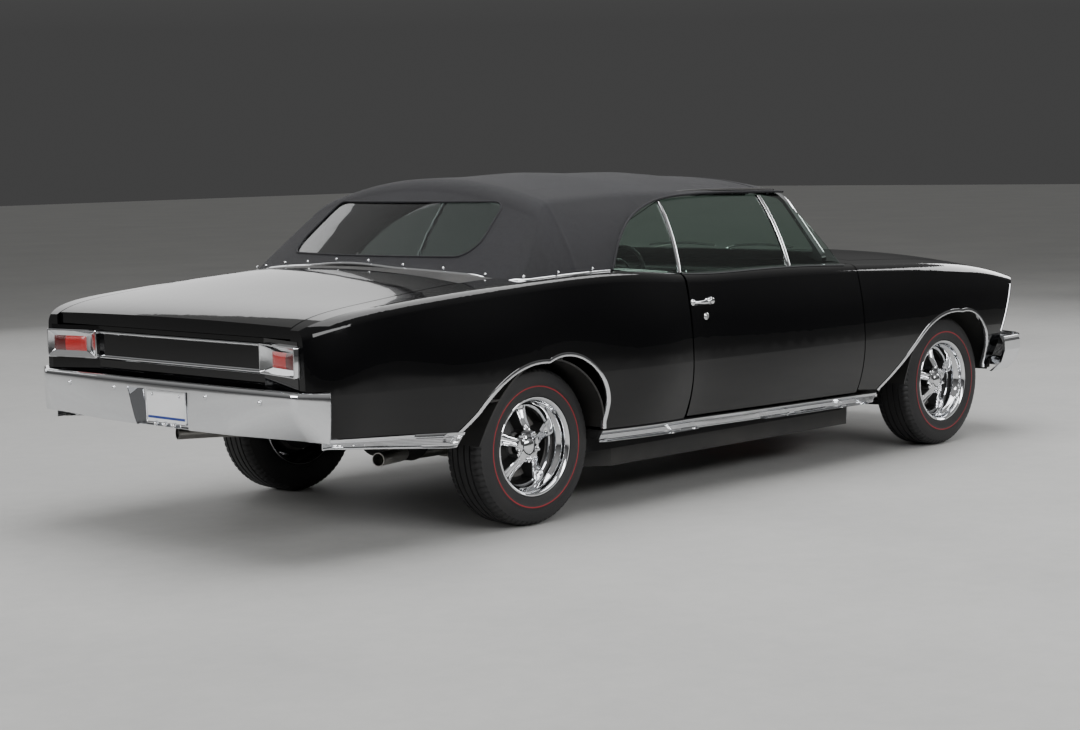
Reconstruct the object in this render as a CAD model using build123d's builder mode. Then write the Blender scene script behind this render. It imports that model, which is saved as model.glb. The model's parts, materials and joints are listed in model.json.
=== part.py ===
"""A two-door convertible muscle car of the mid 1960s, in millimetres.

Frame: +X is the way the car drives, +Y its left side, +Z up. The origin lies on the ground,
midway between the bumpers. Painted panels stand on a perimeter frame with separate side rails,
under a fabric top. Every piece is a solid of its own, and like pieces come from one function.
"""

import math
import os
from collections import namedtuple

from build123d import *

# Running gear
AXLE_REAR_X = -1272.0
AXLE_FRONT_X = 1649.0
HALF_TRACK = 737.0
WHEEL_Z = 322.0
TYRE_R = 322.0
STEER_Y = 625.0       # where the steering axis stands, off the centreline

# Bodywork
SKIN = 14.0           # modelled thickness of a painted panel
GAP = 7.0             # gap round a panel that opens
NOSE_X = 2415.0       # leading edge of the nose on the centreline, at NOSE_Z
NOSE_Z = 780.0
NOSE_LEAN = 30.0      # how far it leans forward at the top
NOSE_SWEEP_R = 3300.0  # its sweep in plan
TAIL_X = -2450.0
DOOR_REAR_X = -410.0
DOOR_FRONT_X = 848.0
DOOR_INNER_Y = 795.0
WALL_REAR_X = -905.0  # where the thick wall behind the door ends, at the rear arch
SILL_REAR_Z = 352.0   # top of the bright sill moulding at SILL_REAR_X
SILL_FRONT_Z = 327.0
SILL_REAR_X = -930.0
SILL_FRONT_X = 1010.0
MOULDING_H = 50.0
HOOD_REAR_X = 1000.0
HOOD_HALF_REAR = 722.0
HOOD_HALF_FRONT = 668.0
LID_FRONT_X = -1585.0
LID_REAR_X = -2436.0
LID_HALF_FRONT = 735.0
LID_HALF_REAR = 752.0

# Hinge lines
DOOR_HINGE_X = 778.0
DOOR_HINGE_Y = 925.0
HOOD_HINGE_X = 1070.0
HOOD_HINGE_Z = 984.0
LID_HINGE_X = -1650.0
LID_HINGE_Z = 1022.0

PIECES = {}


def keep(name, part):
    """Files one finished piece under its node name."""
    part.label = name
    PIECES[name] = part


def block(low, high):
    """A plain box from its lowest corner to its highest, outside any builder."""
    size = [h - l for l, h in zip(low, high)]
    middle = [(h + l) / 2 for l, h in zip(low, high)]
    return Pos(*middle) * Box(*size, mode=Mode.PRIVATE)


def side_prism(points, y_low, y_high):
    """A side-view outline of (x, z) points, carried across the car from y_low to y_high."""
    with BuildPart() as prism:
        with BuildSketch(Plane.XZ.offset(-y_high)):
            with BuildLine():
                Polyline(*points, close=True)
            make_face()
        extrude(amount=y_high - y_low)
    return prism.part


def plan_prism(points, z_low, z_high):
    """A plan-view outline of (x, y) points, carried up from z_low to z_high."""
    with BuildPart() as prism:
        with BuildSketch(Plane.XY.offset(z_low)):
            with BuildLine():
                Polyline(*points, close=True)
            make_face()
        extrude(amount=z_high - z_low)
    return prism.part


def both_sides(part):
    """The piece and its mirror image across the centreline, as one part."""
    return Part() + part + mirror(part, about=Plane.XZ)


def sill_line(x, rise=0.0):
    """Height of the sill moulding's top edge at x, plus rise."""
    slope = (SILL_FRONT_Z - SILL_REAR_Z) / (SILL_FRONT_X - SILL_REAR_X)
    return SILL_REAR_Z + slope * (x - SILL_REAR_X) + rise


# Body sections from the tail to the nose. Each row is one station along X, and gives half of an
# outline seen from behind: the sill, the widest point, the shoulder and the crest line, each as
# distance off the centreline and height, and then the height of the deck on the centreline.
Station = namedtuple(
    "Station",
    "x y_sill z_sill y_wide z_wide y_shoulder z_shoulder y_crest z_crest z_centre",
)
STATIONS = [
    Station(-2450, 806, 470, 836, 640, 826, 840, 806, 876, 886),
    Station(-2392, 842, 455, 886, 640, 862, 860, 834, 902, 912),
    Station(-2240, 856, 430, 908, 636, 884, 888, 848, 932, 946),
    Station(-1850, 858, 385, 922, 625, 893, 925, 853, 966, 1006),
    Station(-1350, 857, 340, 930, 610, 897, 952, 857, 992, 1052),
    Station(-860, 857, 314, 938, 603, 902, 962, 863, 1003, 1056),
    Station(-410, 857, 304, 943, 600, 903, 936, 868, 973, 1018),
    Station(250, 857, 294, 945, 595, 903, 924, 868, 962, 1004),
    Station(850, 857, 286, 937, 590, 895, 908, 860, 946, 996),
    Station(1400, 852, 285, 915, 585, 878, 885, 842, 924, 980),
    Station(1900, 838, 342, 888, 580, 856, 848, 818, 886, 950),
    Station(2200, 822, 350, 860, 570, 834, 800, 798, 836, 904),
    Station(2470, 800, 360, 836, 560, 812, 742, 776, 780, 836),
]


def station_sketch(row, inset, drop, push):
    """The closed outline of one station on its own plane: line, three side arcs and crown arc."""
    with BuildSketch(Plane.YZ.offset(row.x + push)) as outline:
        with BuildLine():
            sill = (row.y_sill - inset, row.z_sill - drop)
            wide = (row.y_wide - inset, row.z_wide)
            shoulder = (row.y_shoulder - inset, row.z_shoulder - 0.3 * inset)
            crest = (row.y_crest - inset, row.z_crest - inset)
            Line((0, sill[1]), sill)
            TangentArc(wide, sill, tangent=(0, -1))
            side = TangentArc(wide, shoulder, tangent=(0, 1))
            TangentArc(shoulder, crest, tangent=side % 1)
            TangentArc((0, row.z_centre - inset), crest, tangent=(1, 0))
            mirror(about=Plane.YZ)
        make_face()
    return outline.sketch


def body_loft(inset=0.0, drop=0.0, overrun=0.0):
    """The whole lower body as one closed solid, from the tail to the nose."""
    last = len(STATIONS) - 1
    with BuildPart() as body:
        for index, row in enumerate(STATIONS):
            push = {0: -overrun, last: overrun}.get(index, 0.0)
            add(station_sketch(row, inset, drop, push))
        loft()
    return body.part


def nose_cutter(back=0.0):
    """All that lies ahead of the nose, or of a surface that far behind it."""
    centre_x = NOSE_X - back - NOSE_SWEEP_R / math.cos(math.radians(NOSE_LEAN))
    with BuildPart() as cutter:
        add(block((1700, -1100, 200), (2800, 1100, 1200)))
        with Locations(Location((centre_x, 0, NOSE_Z), (0, NOSE_LEAN, 0))):
            Cylinder(NOSE_SWEEP_R, 6000, mode=Mode.SUBTRACT)
    return cutter.part


def nose_x(y, z, back=0.0):
    """Where the nose's leading surface stands at a distance off the centreline and a height."""
    lean = math.radians(NOSE_LEAN)
    sweep = (NOSE_SWEEP_R - math.sqrt(NOSE_SWEEP_R ** 2 - y ** 2)) / math.cos(lean)
    return NOSE_X - back - sweep + math.tan(lean) * (z - NOSE_Z)


OUTER = body_loft()
INNER = body_loft(SKIN, 60, 6)
NOSE = nose_cutter()
SHELL = (OUTER - INNER) - NOSE

# Wheel arches, as seen from the side. Corner points run up the front leg and over to the rear.
FRONT_ARCH = {
    "front": [(1985, 180), (1985, 480)],
    "arcs": [(1912, 608), (1730, 662), (1510, 648), (1340, 566)],
    "rear": [(1016, 326), (1016, 180)],
}
REAR_ARCH = {
    "front": [(-928, 180), (-928, 470)],
    "arcs": [(-1010, 622), (-1270, 664), (-1500, 628), (-1664, 500)],
    "rear": [(-1880, 300), (-1880, 180)],
}


def arch_prism(arch, y_low, y_high):
    """A wheel arch's side-view outline, with two arcs over the wheel, carried across the car."""
    a, b, c, d = arch["arcs"]
    with BuildPart() as prism:
        with BuildSketch(Plane.XZ.offset(-y_high)):
            with BuildLine():
                Polyline(*arch["front"])
                ThreePointArc(arch["front"][-1], a, b)
                ThreePointArc(b, c, d)
                Polyline(d, *arch["rear"])
                Line(arch["rear"][-1], arch["front"][0])
            make_face()
        extrude(amount=y_high - y_low)
    return prism.part


ARCHES = arch_prism(FRONT_ARCH, 500, 1100) + arch_prism(REAR_ARCH, 500, 1100)


def door_outline(inset):
    """The door's side-view outline, drawn in by inset on its two edges and its lower edge."""
    rear = DOOR_REAR_X + inset
    front = DOOR_FRONT_X - inset
    return [
        (rear, 1200),
        (rear, sill_line(rear, GAP + inset)),
        (front, sill_line(front, GAP + inset)),
        (front, 1200),
    ]


BUMPER_NOTCH = block((-2460, 500, 440), (-2404, 1000, 562))  # room for the bumper's tucked end


def make_side_panels():
    """Front fenders, quarters, doors and tail, cut from one shell so that their lines run on."""
    sill_cut = side_prism(
        [(-930, 100), (1016, 100), (1016, sill_line(1016)), (-930, sill_line(-930))], 700, 1100
    )
    hood_edge = [
        (HOOD_REAR_X - 200, HOOD_HALF_REAR + 8 + GAP),
        (HOOD_REAR_X, HOOD_HALF_REAR + GAP),
        (2600, HOOD_HALF_FRONT + GAP - 9),
        (2600, 1100),
        (HOOD_REAR_X - 200, 1100),
    ]
    fender = SHELL & plan_prism(hood_edge, 200, 1200)
    fender = fender & side_prism(
        [(DOOR_FRONT_X, 1200), (DOOR_FRONT_X, 200), (2700, 200), (2700, 1200)], 600, 1100
    )
    fender = fender - ARCHES - sill_cut
    quarter = SHELL & block((-2600, 0, 200), (DOOR_REAR_X, 1100, 1200))
    quarter = quarter - plan_prism(
        [(-300, -10), (-300, DOOR_INNER_Y), (-1330, DOOR_INNER_Y), (-1400, LID_HALF_FRONT + GAP),
         (LID_FRONT_X, LID_HALF_FRONT + GAP), (LID_REAR_X, LID_HALF_REAR + GAP),
         (-2700, LID_HALF_REAR + GAP), (-2700, -10)],
        800, 1200,
    )
    quarter = quarter - block((-2700, -10, 200), (-300, 500, 800)) - BUMPER_NOTCH
    wall = OUTER & side_prism(
        [(WALL_REAR_X, 1200), (WALL_REAR_X, 300), (DOOR_REAR_X, 300), (DOOR_REAR_X, 1200)],
        DOOR_INNER_Y, 1100,
    )
    quarter = quarter + wall - ARCHES - sill_cut
    door = OUTER & side_prism(door_outline(GAP), DOOR_INNER_Y, 1100)
    door = door - plan_prism([(DOOR_REAR_X - 1, 960), (DOOR_REAR_X - 1, 790), (DOOR_REAR_X + 28, 790),
                              (DOOR_REAR_X + 6, 960)], 200, 1200)
    return fender, quarter, door



def make_lids():
    """The hood, the trunk lid and the fixed strip of deck ahead of it, from the same shell."""
    hood = SHELL & plan_prism(
        [(HOOD_REAR_X + GAP, -HOOD_HALF_REAR), (HOOD_REAR_X + GAP, HOOD_HALF_REAR),
         (2600, HOOD_HALF_FRONT - 9), (2600, -HOOD_HALF_FRONT + 9)], 700, 1200,
    )
    lid = SHELL & plan_prism(
        [(LID_FRONT_X - GAP, -LID_HALF_FRONT), (LID_FRONT_X - GAP, LID_HALF_FRONT),
         (LID_REAR_X, LID_HALF_REAR), (LID_REAR_X, -LID_HALF_REAR)], 800, 1200,
    )
    strip = SHELL & block((LID_FRONT_X, -LID_HALF_FRONT - GAP, 900), (-1400, LID_HALF_FRONT + GAP, 1200))
    return hood, lid, strip


# Glass lines. The side glass is one arc in section, the same all along the car.
GLASS_T = 5.0
GLASS_BELT = (846.0, 930.0)
GLASS_RAIL = (650.0, 1296.0)
GLASS_BULGE = 22.0


def glass_arc(offset, below=4.0, above=0.0):
    """Three (y, z) points of the side glass arc, moved outwards by offset, carried on by degrees."""
    belt = Vector(*GLASS_BELT)
    rail = Vector(*GLASS_RAIL)
    run = rail - belt
    outward = Vector(run.Y, -run.X).normalized()
    radius = (run.length ** 2 / 4 + GLASS_BULGE ** 2) / (2 * GLASS_BULGE)
    centre = belt + run * 0.5 - outward * (radius - GLASS_BULGE)
    angles = [math.atan2(p.Y - centre.Y, p.X - centre.X) for p in (belt, rail)]
    low = angles[0] - math.radians(below)
    high = angles[1] + math.radians(above)
    reach = radius + offset
    return [
        (centre.X + reach * math.cos(angle), centre.Y + reach * math.sin(angle))
        for angle in (low, (low + high) / 2, high)
    ]


def side_glass_band(offset, thickness, x_low, x_high):
    """The curved plane of the side glass, moved outwards by offset and made thickness thick."""
    inner = glass_arc(offset)
    outer = glass_arc(offset + thickness)
    with BuildPart() as band:
        with BuildSketch(Plane.YZ.offset(x_low)):
            with BuildLine():
                ThreePointArc(*inner)
                ThreePointArc(*outer)
                Line(inner[0], outer[0])
                Line(inner[2], outer[2])
            make_face()
        extrude(amount=x_high - x_low)
    return band.part


# The edge of the fabric over the side glass, seen from the side, from the belt forward
CLOTH_EDGE = [(-800, 1003), (-716, 1110), (-590, 1205), (-440, 1262), (-275, 1293), (10, 1303),
              (410, 1297), (566, 1292)]
PILLAR_FOOT = (815.0, 955.0)
PILLAR_HEAD = (566.0, 1300.0)


def cabin_side_opening(inset):
    """Side-view outline of the whole side window, from the quarter to the windshield pillar."""
    points = [(x, z - inset) for x, z in CLOTH_EDGE]
    points[0] = (CLOTH_EDGE[0][0] + inset, CLOTH_EDGE[0][1])
    return points


WINDOW_SPLIT = (-372.0, -312.0)  # the quarter window's front edge, at its lower lip and its top
VENT_X = 386.0        # the bar behind the door's vent window


def make_side_glass():
    """The quarter window, and the door glass with its vent window, cut from one curved band."""
    band = side_glass_band(0, GLASS_T, -900, 900)
    over = 9.0
    quarter_side = cabin_side_opening(over)
    quarter_cut = [(x, z) for x, z in quarter_side if x < DOOR_REAR_X - 60]
    lip_x, top_x = WINDOW_SPLIT
    quarter_glass = band & side_prism(
        quarter_cut + [(top_x, 1281), (lip_x, 984), (DOOR_REAR_X - 6, 984), (DOOR_REAR_X - 6, 960),
                       (-770, 960)], 500, 1000
    )
    door_cut = [(lip_x + 6, 940), (lip_x + 13, 984), (top_x + 14, 1285)]
    door_cut = door_cut + [(x, z) for x, z in quarter_side if -270 < x < 500]
    slope = (PILLAR_FOOT[0] - PILLAR_HEAD[0]) / (PILLAR_FOOT[1] - PILLAR_HEAD[1])
    front_top = PILLAR_HEAD[0] + slope * (1284 - PILLAR_HEAD[1]) - 40
    front_bottom = PILLAR_HEAD[0] + slope * (940 - PILLAR_HEAD[1]) - 40
    door_glass = band & side_prism(
        door_cut + [(front_top, 1284), (front_bottom, 940)], 500, 1000
    )
    vent_bar = side_glass_band(-6, 17, VENT_X - 7, VENT_X + 7) & block((0, 0, 935), (900, 1000, 1283))
    return quarter_glass, door_glass - vent_bar, vent_bar


# Fabric top: the roofline seen from the side, and the radius of its arch seen from the front
TOP_FRONT = (700.0, 1358.1)
TOP_CROWN = (-250.0, 1409.0)
TOP_BOW = (-1010.0, 1396.0)
TOP_KNEE = (-1120.0, 1345.0)
TOP_FOOT = (-1498.0, 1052.0)
TOP_BASE_Z = 985.0
ROOF_ARCH_R = 2350.0
CLOTH = 11.0
CLOTH_OFFSET = 16.0
RAIL_ROUND = 48.0
HEADER_X = 612.0      # front edge of the fabric on the centreline
HEADER_R = 2300.0     # and its sweep in plan
HEADER_WALL = 24.0


def roof_ring(inset):
    """The roofline drawn from the side, turned about a far axis so that the roof is arched."""
    low = TOP_BASE_Z - 5 * inset
    line = [(x, z - inset) for x, z in (TOP_FRONT, TOP_CROWN, TOP_BOW)]
    knee = (TOP_KNEE[0] + 0.4 * inset, TOP_KNEE[1] - inset)
    foot = (TOP_FOOT[0] + inset, TOP_FOOT[1] - inset)
    front_x = TOP_FRONT[0] + 2 * inset
    axis = Axis((0, 0, TOP_CROWN[1] - ROOF_ARCH_R), (1, 0, 0))
    with BuildPart() as roof:
        with BuildSketch(Plane.XZ):
            with BuildLine():
                if inset:
                    Line((front_x, line[0][1]), line[0])
                arc = ThreePointArc(*line)
                TangentArc(line[2], knee, tangent=arc % 1)
                Polyline(knee, foot, (foot[0], low), (front_x, low), (front_x, line[0][1]))
            make_face()
        revolve(axis=axis, revolution_arc=50)
    return roof.part.rotate(axis, -25)


def top_section(inset):
    """The cabin's cross-section carried along the car: the side glass arc set off outwards."""
    low, middle, high = glass_arc(CLOTH_OFFSET - inset, below=-3.2, above=6.0)
    floor_z = TOP_BASE_Z - 5 * inset
    with BuildPart() as prism:
        with BuildSketch(Plane.YZ.offset(-1700)):
            with BuildLine():
                ThreePointArc(low, middle, high)
                Polyline(high, (high[0], 1600), (0, 1600))
                Polyline((0, floor_z), (low[0], floor_z), low)
                mirror(about=Plane.YZ)
            make_face()
        extrude(amount=2500)
    return prism.part


def top_solid(inset, rounding=0.0):
    """The fabric top as one closed solid, with its rails and bows rounded where asked."""
    with BuildPart() as top:
        add(roof_ring(inset) & top_section(inset))
        if rounding:
            rails = top.edges().filter_by(lambda e: e.length > 1200 and (e @ 0.5).Z > 1250)
            fillet(rails, rounding)
    return top.part


# Rear window: half widths and heights of its lower and upper edges, seen from behind
BACKLIGHT = {"low": (575, 1085), "high": (520, 1300), "round": 60.0}


def backlight_prism(inset, x_low=-1700, x_high=-900):
    """The rear window's outline seen from behind, with round corners, drawn in by inset."""
    (low_y, low_z), (high_y, high_z) = BACKLIGHT["low"], BACKLIGHT["high"]
    with BuildPart() as prism:
        with BuildSketch(Plane.YZ.offset(x_low)) as outline:
            with BuildLine():
                Polyline(
                    (-low_y + inset, low_z + inset), (low_y - inset, low_z + inset),
                    (high_y - inset, high_z - inset), (-high_y + inset, high_z - inset), close=True,
                )
            make_face()
            fillet(outline.vertices(), BACKLIGHT["round"] - inset)
        extrude(amount=x_high - x_low)
    return prism.part


def ahead_of_header(back):
    """All that lies ahead of the fabric's swept front edge, moved back by a distance."""
    with BuildPart() as ahead:
        add(block((300, -1100, 1270), (900, 1100, 1500)))
        with Locations((HEADER_X - back - HEADER_R, 0, 1400)):
            Cylinder(HEADER_R, 400, mode=Mode.SUBTRACT)
    return ahead.part


def make_soft_top():
    """The fabric top, hollow, open below and at its three windows, and the clear rear window."""
    outer = top_solid(0, RAIL_ROUND) - ahead_of_header(0)
    inner = top_solid(CLOTH) - ahead_of_header(HEADER_WALL)
    opening = side_prism(
        CLOTH_EDGE + [(760, 1292), (760, 900), (-800, 900)], -1100, 1100
    )
    skin = outer - inner
    cloth = skin - opening - backlight_prism(0) - OUTER
    pane_outer = top_solid(3)
    pane_inner = top_solid(7)
    pane = (pane_outer - pane_inner) & backlight_prism(0)
    pane = max(pane.solids(), key=lambda solid: solid.volume)
    return cloth, pane


# Windshield: a cylinder laid back along the pillars
SHIELD_FOOT = (905.0, 972.0)
SHIELD_HEAD = (628.0, 1345.0)
SHIELD_R = 3000.0
SHIELD_T = 6.0
SHIELD_HALF_LOW = 738.0
SHIELD_HALF_HIGH = 622.0
PILLAR_W = 26.0
PILLAR_T = 30.0


def shield_band(thickness, shift):
    """A band of the windshield's cylinder, standing along the pillar's slope."""
    foot = Vector(SHIELD_FOOT[0], 0, SHIELD_FOOT[1])
    head = Vector(SHIELD_HEAD[0], 0, SHIELD_HEAD[1])
    along = (head - foot).normalized()
    plane = Plane(origin=foot - along * 120, x_dir=(0, 1, 0), z_dir=along)
    half = 860.0
    with BuildPart() as band:
        with BuildSketch(plane):
            with BuildLine():
                rows = []
                for reach in (SHIELD_R + shift, SHIELD_R + shift - thickness):
                    sag = SHIELD_R - math.sqrt(reach ** 2 - half ** 2)
                    rows.append([(-half, sag), (0, SHIELD_R - reach), (half, sag)])
                ThreePointArc(*rows[0])
                ThreePointArc(*rows[1])
                Line(rows[0][0], rows[1][0])
                Line(rows[0][2], rows[1][2])
            make_face()
        extrude(amount=(head - foot).length + 240)
    return band.part


def shield_outline(grow, z_low, z_high):
    """The windshield's outline seen from ahead, grown by a width on every side."""
    slope = (SHIELD_HALF_LOW - SHIELD_HALF_HIGH) / (SHIELD_HEAD[1] - SHIELD_FOOT[1])
    low = SHIELD_HALF_LOW + grow + slope * (SHIELD_FOOT[1] - z_low)
    high = SHIELD_HALF_HIGH + grow - slope * (z_high - SHIELD_HEAD[1])
    with BuildPart() as prism:
        with BuildSketch(Plane.YZ.offset(300)):
            with BuildLine():
                Polyline((-low, z_low), (low, z_low), (high, z_high), (-high, z_high), close=True)
            make_face()
        extrude(amount=900)
    return prism.part


def make_windshield():
    """The bent windshield and the bright frame of pillars, header and base that holds it."""
    glass = shield_band(SHIELD_T, 0) & shield_outline(0, SHIELD_FOOT[1] - 6, SHIELD_HEAD[1] - 6)
    frame = shield_band(PILLAR_T, 8) & shield_outline(PILLAR_W, 935, SHIELD_HEAD[1] + 14)
    frame = frame - shield_outline(0, SHIELD_FOOT[1] + 28, SHIELD_HEAD[1] - 14) - glass
    under_cloth = block((300, -1100, 1292), (900, 1100, 1500)) - ahead_of_header(0)
    return glass - OUTER, frame - OUTER - under_cloth


# Cabin floor and walls
FLOOR_TOP = 262.0
FLOOR_T = 12.0
TUNNEL_W = 250.0
TUNNEL_H = 150.0
FIREWALL_X = 1010.0
SEAT_STEP_X = -640.0
BULKHEAD_X = -1180.0
TRUNK_Z = 540.0
REAR_RAIL_LOW = 462.0  # underside of the rear rails, above the bumper's lower edge
HOUSE_Y = 596.0       # inner wall of a wheelhouse
HOUSE_R = 352.0
SHEET = 8.0


def make_floor():
    """Cabin floor with its tunnel, toe board, seat step and the sill beams, as one pressing."""
    low = FLOOR_TOP - FLOOR_T
    line = [
        (FIREWALL_X - 10, 420), (880, FLOOR_TOP), (SEAT_STEP_X, FLOOR_TOP), (SEAT_STEP_X - 30, 400),
        (BULKHEAD_X, 440),
    ]
    under = [(x, z - FLOOR_T) for x, z in reversed(line)]
    sheet = side_prism(line + under, -770, 770)
    sheet = sheet - both_sides(block((-1300, HOUSE_Y, 300), (-905, 1000, 600)))
    sheet = sheet - both_sides(block((861, 735, 300), (1100, 1000, 500)))
    tunnel_line = [
        (FIREWALL_X - 10, 500), (860, FLOOR_TOP + TUNNEL_H), (SEAT_STEP_X, 400),
        (SEAT_STEP_X, low), (FIREWALL_X - 10, low),
    ]
    tunnel = side_prism(tunnel_line, -TUNNEL_W / 2, TUNNEL_W / 2)
    hollow_line = [(x + (40 if x > 0 else -40), z - FLOOR_T) for x, z in tunnel_line]
    hollow = side_prism(hollow_line, -TUNNEL_W / 2 + FLOOR_T, TUNNEL_W / 2 - FLOOR_T)
    sill = OUTER & side_prism(
        [(SILL_REAR_X, 250), (SILL_FRONT_X, 250), (SILL_FRONT_X, sill_line(SILL_FRONT_X)),
         (SILL_REAR_X, sill_line(SILL_REAR_X))], 755, 1100,
    )
    sill = sill - (INNER & block((-2000, 790, 200), (2000, 1000, 300))) - ARCHES
    link = block((SILL_REAR_X + 20, 740, low), (SILL_FRONT_X - 150, 772, 320))
    floor = sheet + tunnel - hollow + both_sides(sill + link)
    return floor


def wheelhouse(x, y_inner, radius, z_low):
    """The left wheelhouse over one axle: a half drum with its inner wall, out to the skin."""
    with BuildPart() as house:
        with BuildSketch(Plane.XZ.offset(-1000)):
            with Locations((x, WHEEL_Z)):
                Circle(radius + SHEET)
        extrude(amount=1000 - y_inner)
        with BuildSketch(Plane.XZ.offset(-1000)):
            with Locations((x, WHEEL_Z)):
                Circle(radius)
        extrude(amount=1000 - y_inner - SHEET, mode=Mode.SUBTRACT)
    reach = radius + 50
    return house.part & INNER & block((x - reach, y_inner - 1, z_low), (x + reach, 1000, 1000))


def make_trunk():
    """Trunk floor, bulkhead, top well and rear wheelhouses, out to the panels' inner faces."""
    floor = INNER & block((-2430, -1000, TRUNK_Z), (BULKHEAD_X - SHEET, 1000, TRUNK_Z + SHEET))
    wall = INNER & block((BULKHEAD_X - SHEET, -1000, 440), (BULKHEAD_X, 1000, 900))
    shelf = INNER & block((-1408, -1000, 900), (BULKHEAD_X, 1000, 900 + SHEET))
    rise = INNER & block((-1408, -LID_HALF_FRONT, 900), (-1400, LID_HALF_FRONT, 1100))
    house = wheelhouse(AXLE_REAR_X, HOUSE_Y, HOUSE_R, 366)
    drum = Pos(AXLE_REAR_X, 0, WHEEL_Z) * Rot(90, 0, 0) * Cylinder(HOUSE_R, 2400)
    bay = drum - block((-2000, -HOUSE_Y, 0), (0, HOUSE_Y, 1000))
    return (floor + wall + shelf + rise) - bay + both_sides(house)


def make_firewall():
    """The wall ahead of the cabin, the hinge pillars and the cowl panel under the windshield."""
    wall = INNER & block((FIREWALL_X - 10, -735, 420), (FIREWALL_X - 2, 735, 900))
    wall = wall - block((900, -TUNNEL_W / 2 + FLOOR_T, 400), (1100, TUNNEL_W / 2 - FLOOR_T, 488))
    pillar = INNER & block((862, 735, 352), (FIREWALL_X - 2, 1000, 900))
    pillar = pillar - block((880, 750, 300), (FIREWALL_X - 10, 1100, 880))
    cowl = SHELL & plan_prism(
        [(780, -737.8), (780, 737.8), (HOOD_REAR_X, 729), (HOOD_REAR_X, -729)], 850, 1100
    )
    stiffener = INNER & block((FIREWALL_X - 18, -729, 890), (FIREWALL_X - 10, 729, 1000))
    return wall + cowl + stiffener + both_sides(pillar)


RAIL_Y = 700.0        # middle of the side rails along the cabin
FRONT_RAIL = (355.0, 425.0)
REAR_RAIL = (470.0, 540.0)
RAIL_LOW = 170.0
RAIL_HIGH = 250.0


def make_rail():
    """The left frame rail: front horn, flare, side rail and the kick-up over the rear axle."""
    low, high = RAIL_LOW, RAIL_HIGH
    near, far = FRONT_RAIL
    front = side_prism([(1300, low), (1480, 218), (2330, low + 80), (2330, low + 170),
                        (1700, low + 170), (1300, high + 60)], near, far)
    flare = plan_prism([(1400, near), (1400, far), (960, 740), (880, 740), (880, 660), (1230, near)],
                       low, high)
    side = block((-700, 660, low), (900, 740, high))
    inner, outer = REAR_RAIL
    tail = plan_prism([(-640, 660), (-640, 740), (-720, 740), (-940, outer), (-960, inner),
                       (-860, inner)], low, high)
    rear = side_prism(
        [(-860, low), (-860, high), (-1060, 408), (-1192, 408), (-1250, TRUNK_Z), (-2430, TRUNK_Z),
         (-2430, REAR_RAIL_LOW), (-1700, REAR_RAIL_LOW), (-1560, 392), (-1230, 385), (-1110, 330),
         (-950, low)], inner, outer,
    )
    return front + flare + side + tail + rear


def make_crossmembers():
    """The front crossmember with its spring towers, the gearbox mount and the rear members."""
    near = FRONT_RAIL[0]
    front = block((1560, -near, 200), (1738, near, 290))
    tower = block((1575, near, 340), (1723, FRONT_RAIL[1], 483))
    gearbox = block((600, -660, 200), (670, 660, 245))
    high = TRUNK_Z - 10
    rear = block((-1780, -REAR_RAIL[0], REAR_RAIL_LOW), (-1720, REAR_RAIL[0], high))
    end = block((-2430, -REAR_RAIL[0], REAR_RAIL_LOW), (-2390, REAR_RAIL[0], high))
    return Part() + front + both_sides(tower) + gearbox + rear + end


def make_control_arms():
    """Upper and lower control arms, each a triangle from the frame out to its ball joint."""
    arms = []
    for z, inner_y in ((465, FRONT_RAIL[1]), (182, 330)):
        x = AXLE_FRONT_X
        with BuildPart() as arm:
            with BuildSketch(Plane.XY.offset(z)) as outline:
                with BuildLine():
                    Polyline((x - 110, inner_y), (x - 20, STEER_Y + 10), (x + 20, STEER_Y + 10),
                             (x + 110, inner_y), close=True)
                make_face()
                with BuildLine():
                    Polyline((x - 62, inner_y + 25), (x, STEER_Y - 60), (x + 62, inner_y + 25),
                             close=True)
                make_face(mode=Mode.SUBTRACT)
            extrude(amount=18)
        arms.append(arm.part)
    pair = Part() + arms[0] + arms[1]
    return both_sides(pair)


HUB_BORE_R = 15.05
STUB_R = 15.0


def make_knuckle():
    """The left steering knuckle: upright, backing plate, stub axle and steering arm."""
    x = AXLE_FRONT_X
    with BuildPart() as knuckle:
        add(block((x - 32, STEER_Y - 15, 200.5), (x + 32, STEER_Y + 15, 464.5)))
        with BuildSketch(Plane.XZ.offset(-648)):
            with Locations((x, WHEEL_Z)):
                Circle(118)
        extrude(amount=8)
        with BuildSketch(Plane.XZ.offset(-748)):
            with Locations((x, WHEEL_Z)):
                Circle(STUB_R)
        extrude(amount=100)
        add(block((x - 150, STEER_Y - 12, 250), (x - 20, STEER_Y + 6, 275)))
    return knuckle.part


SPRING_Y = 415.0      # middle of the rear coil springs' seats


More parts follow.
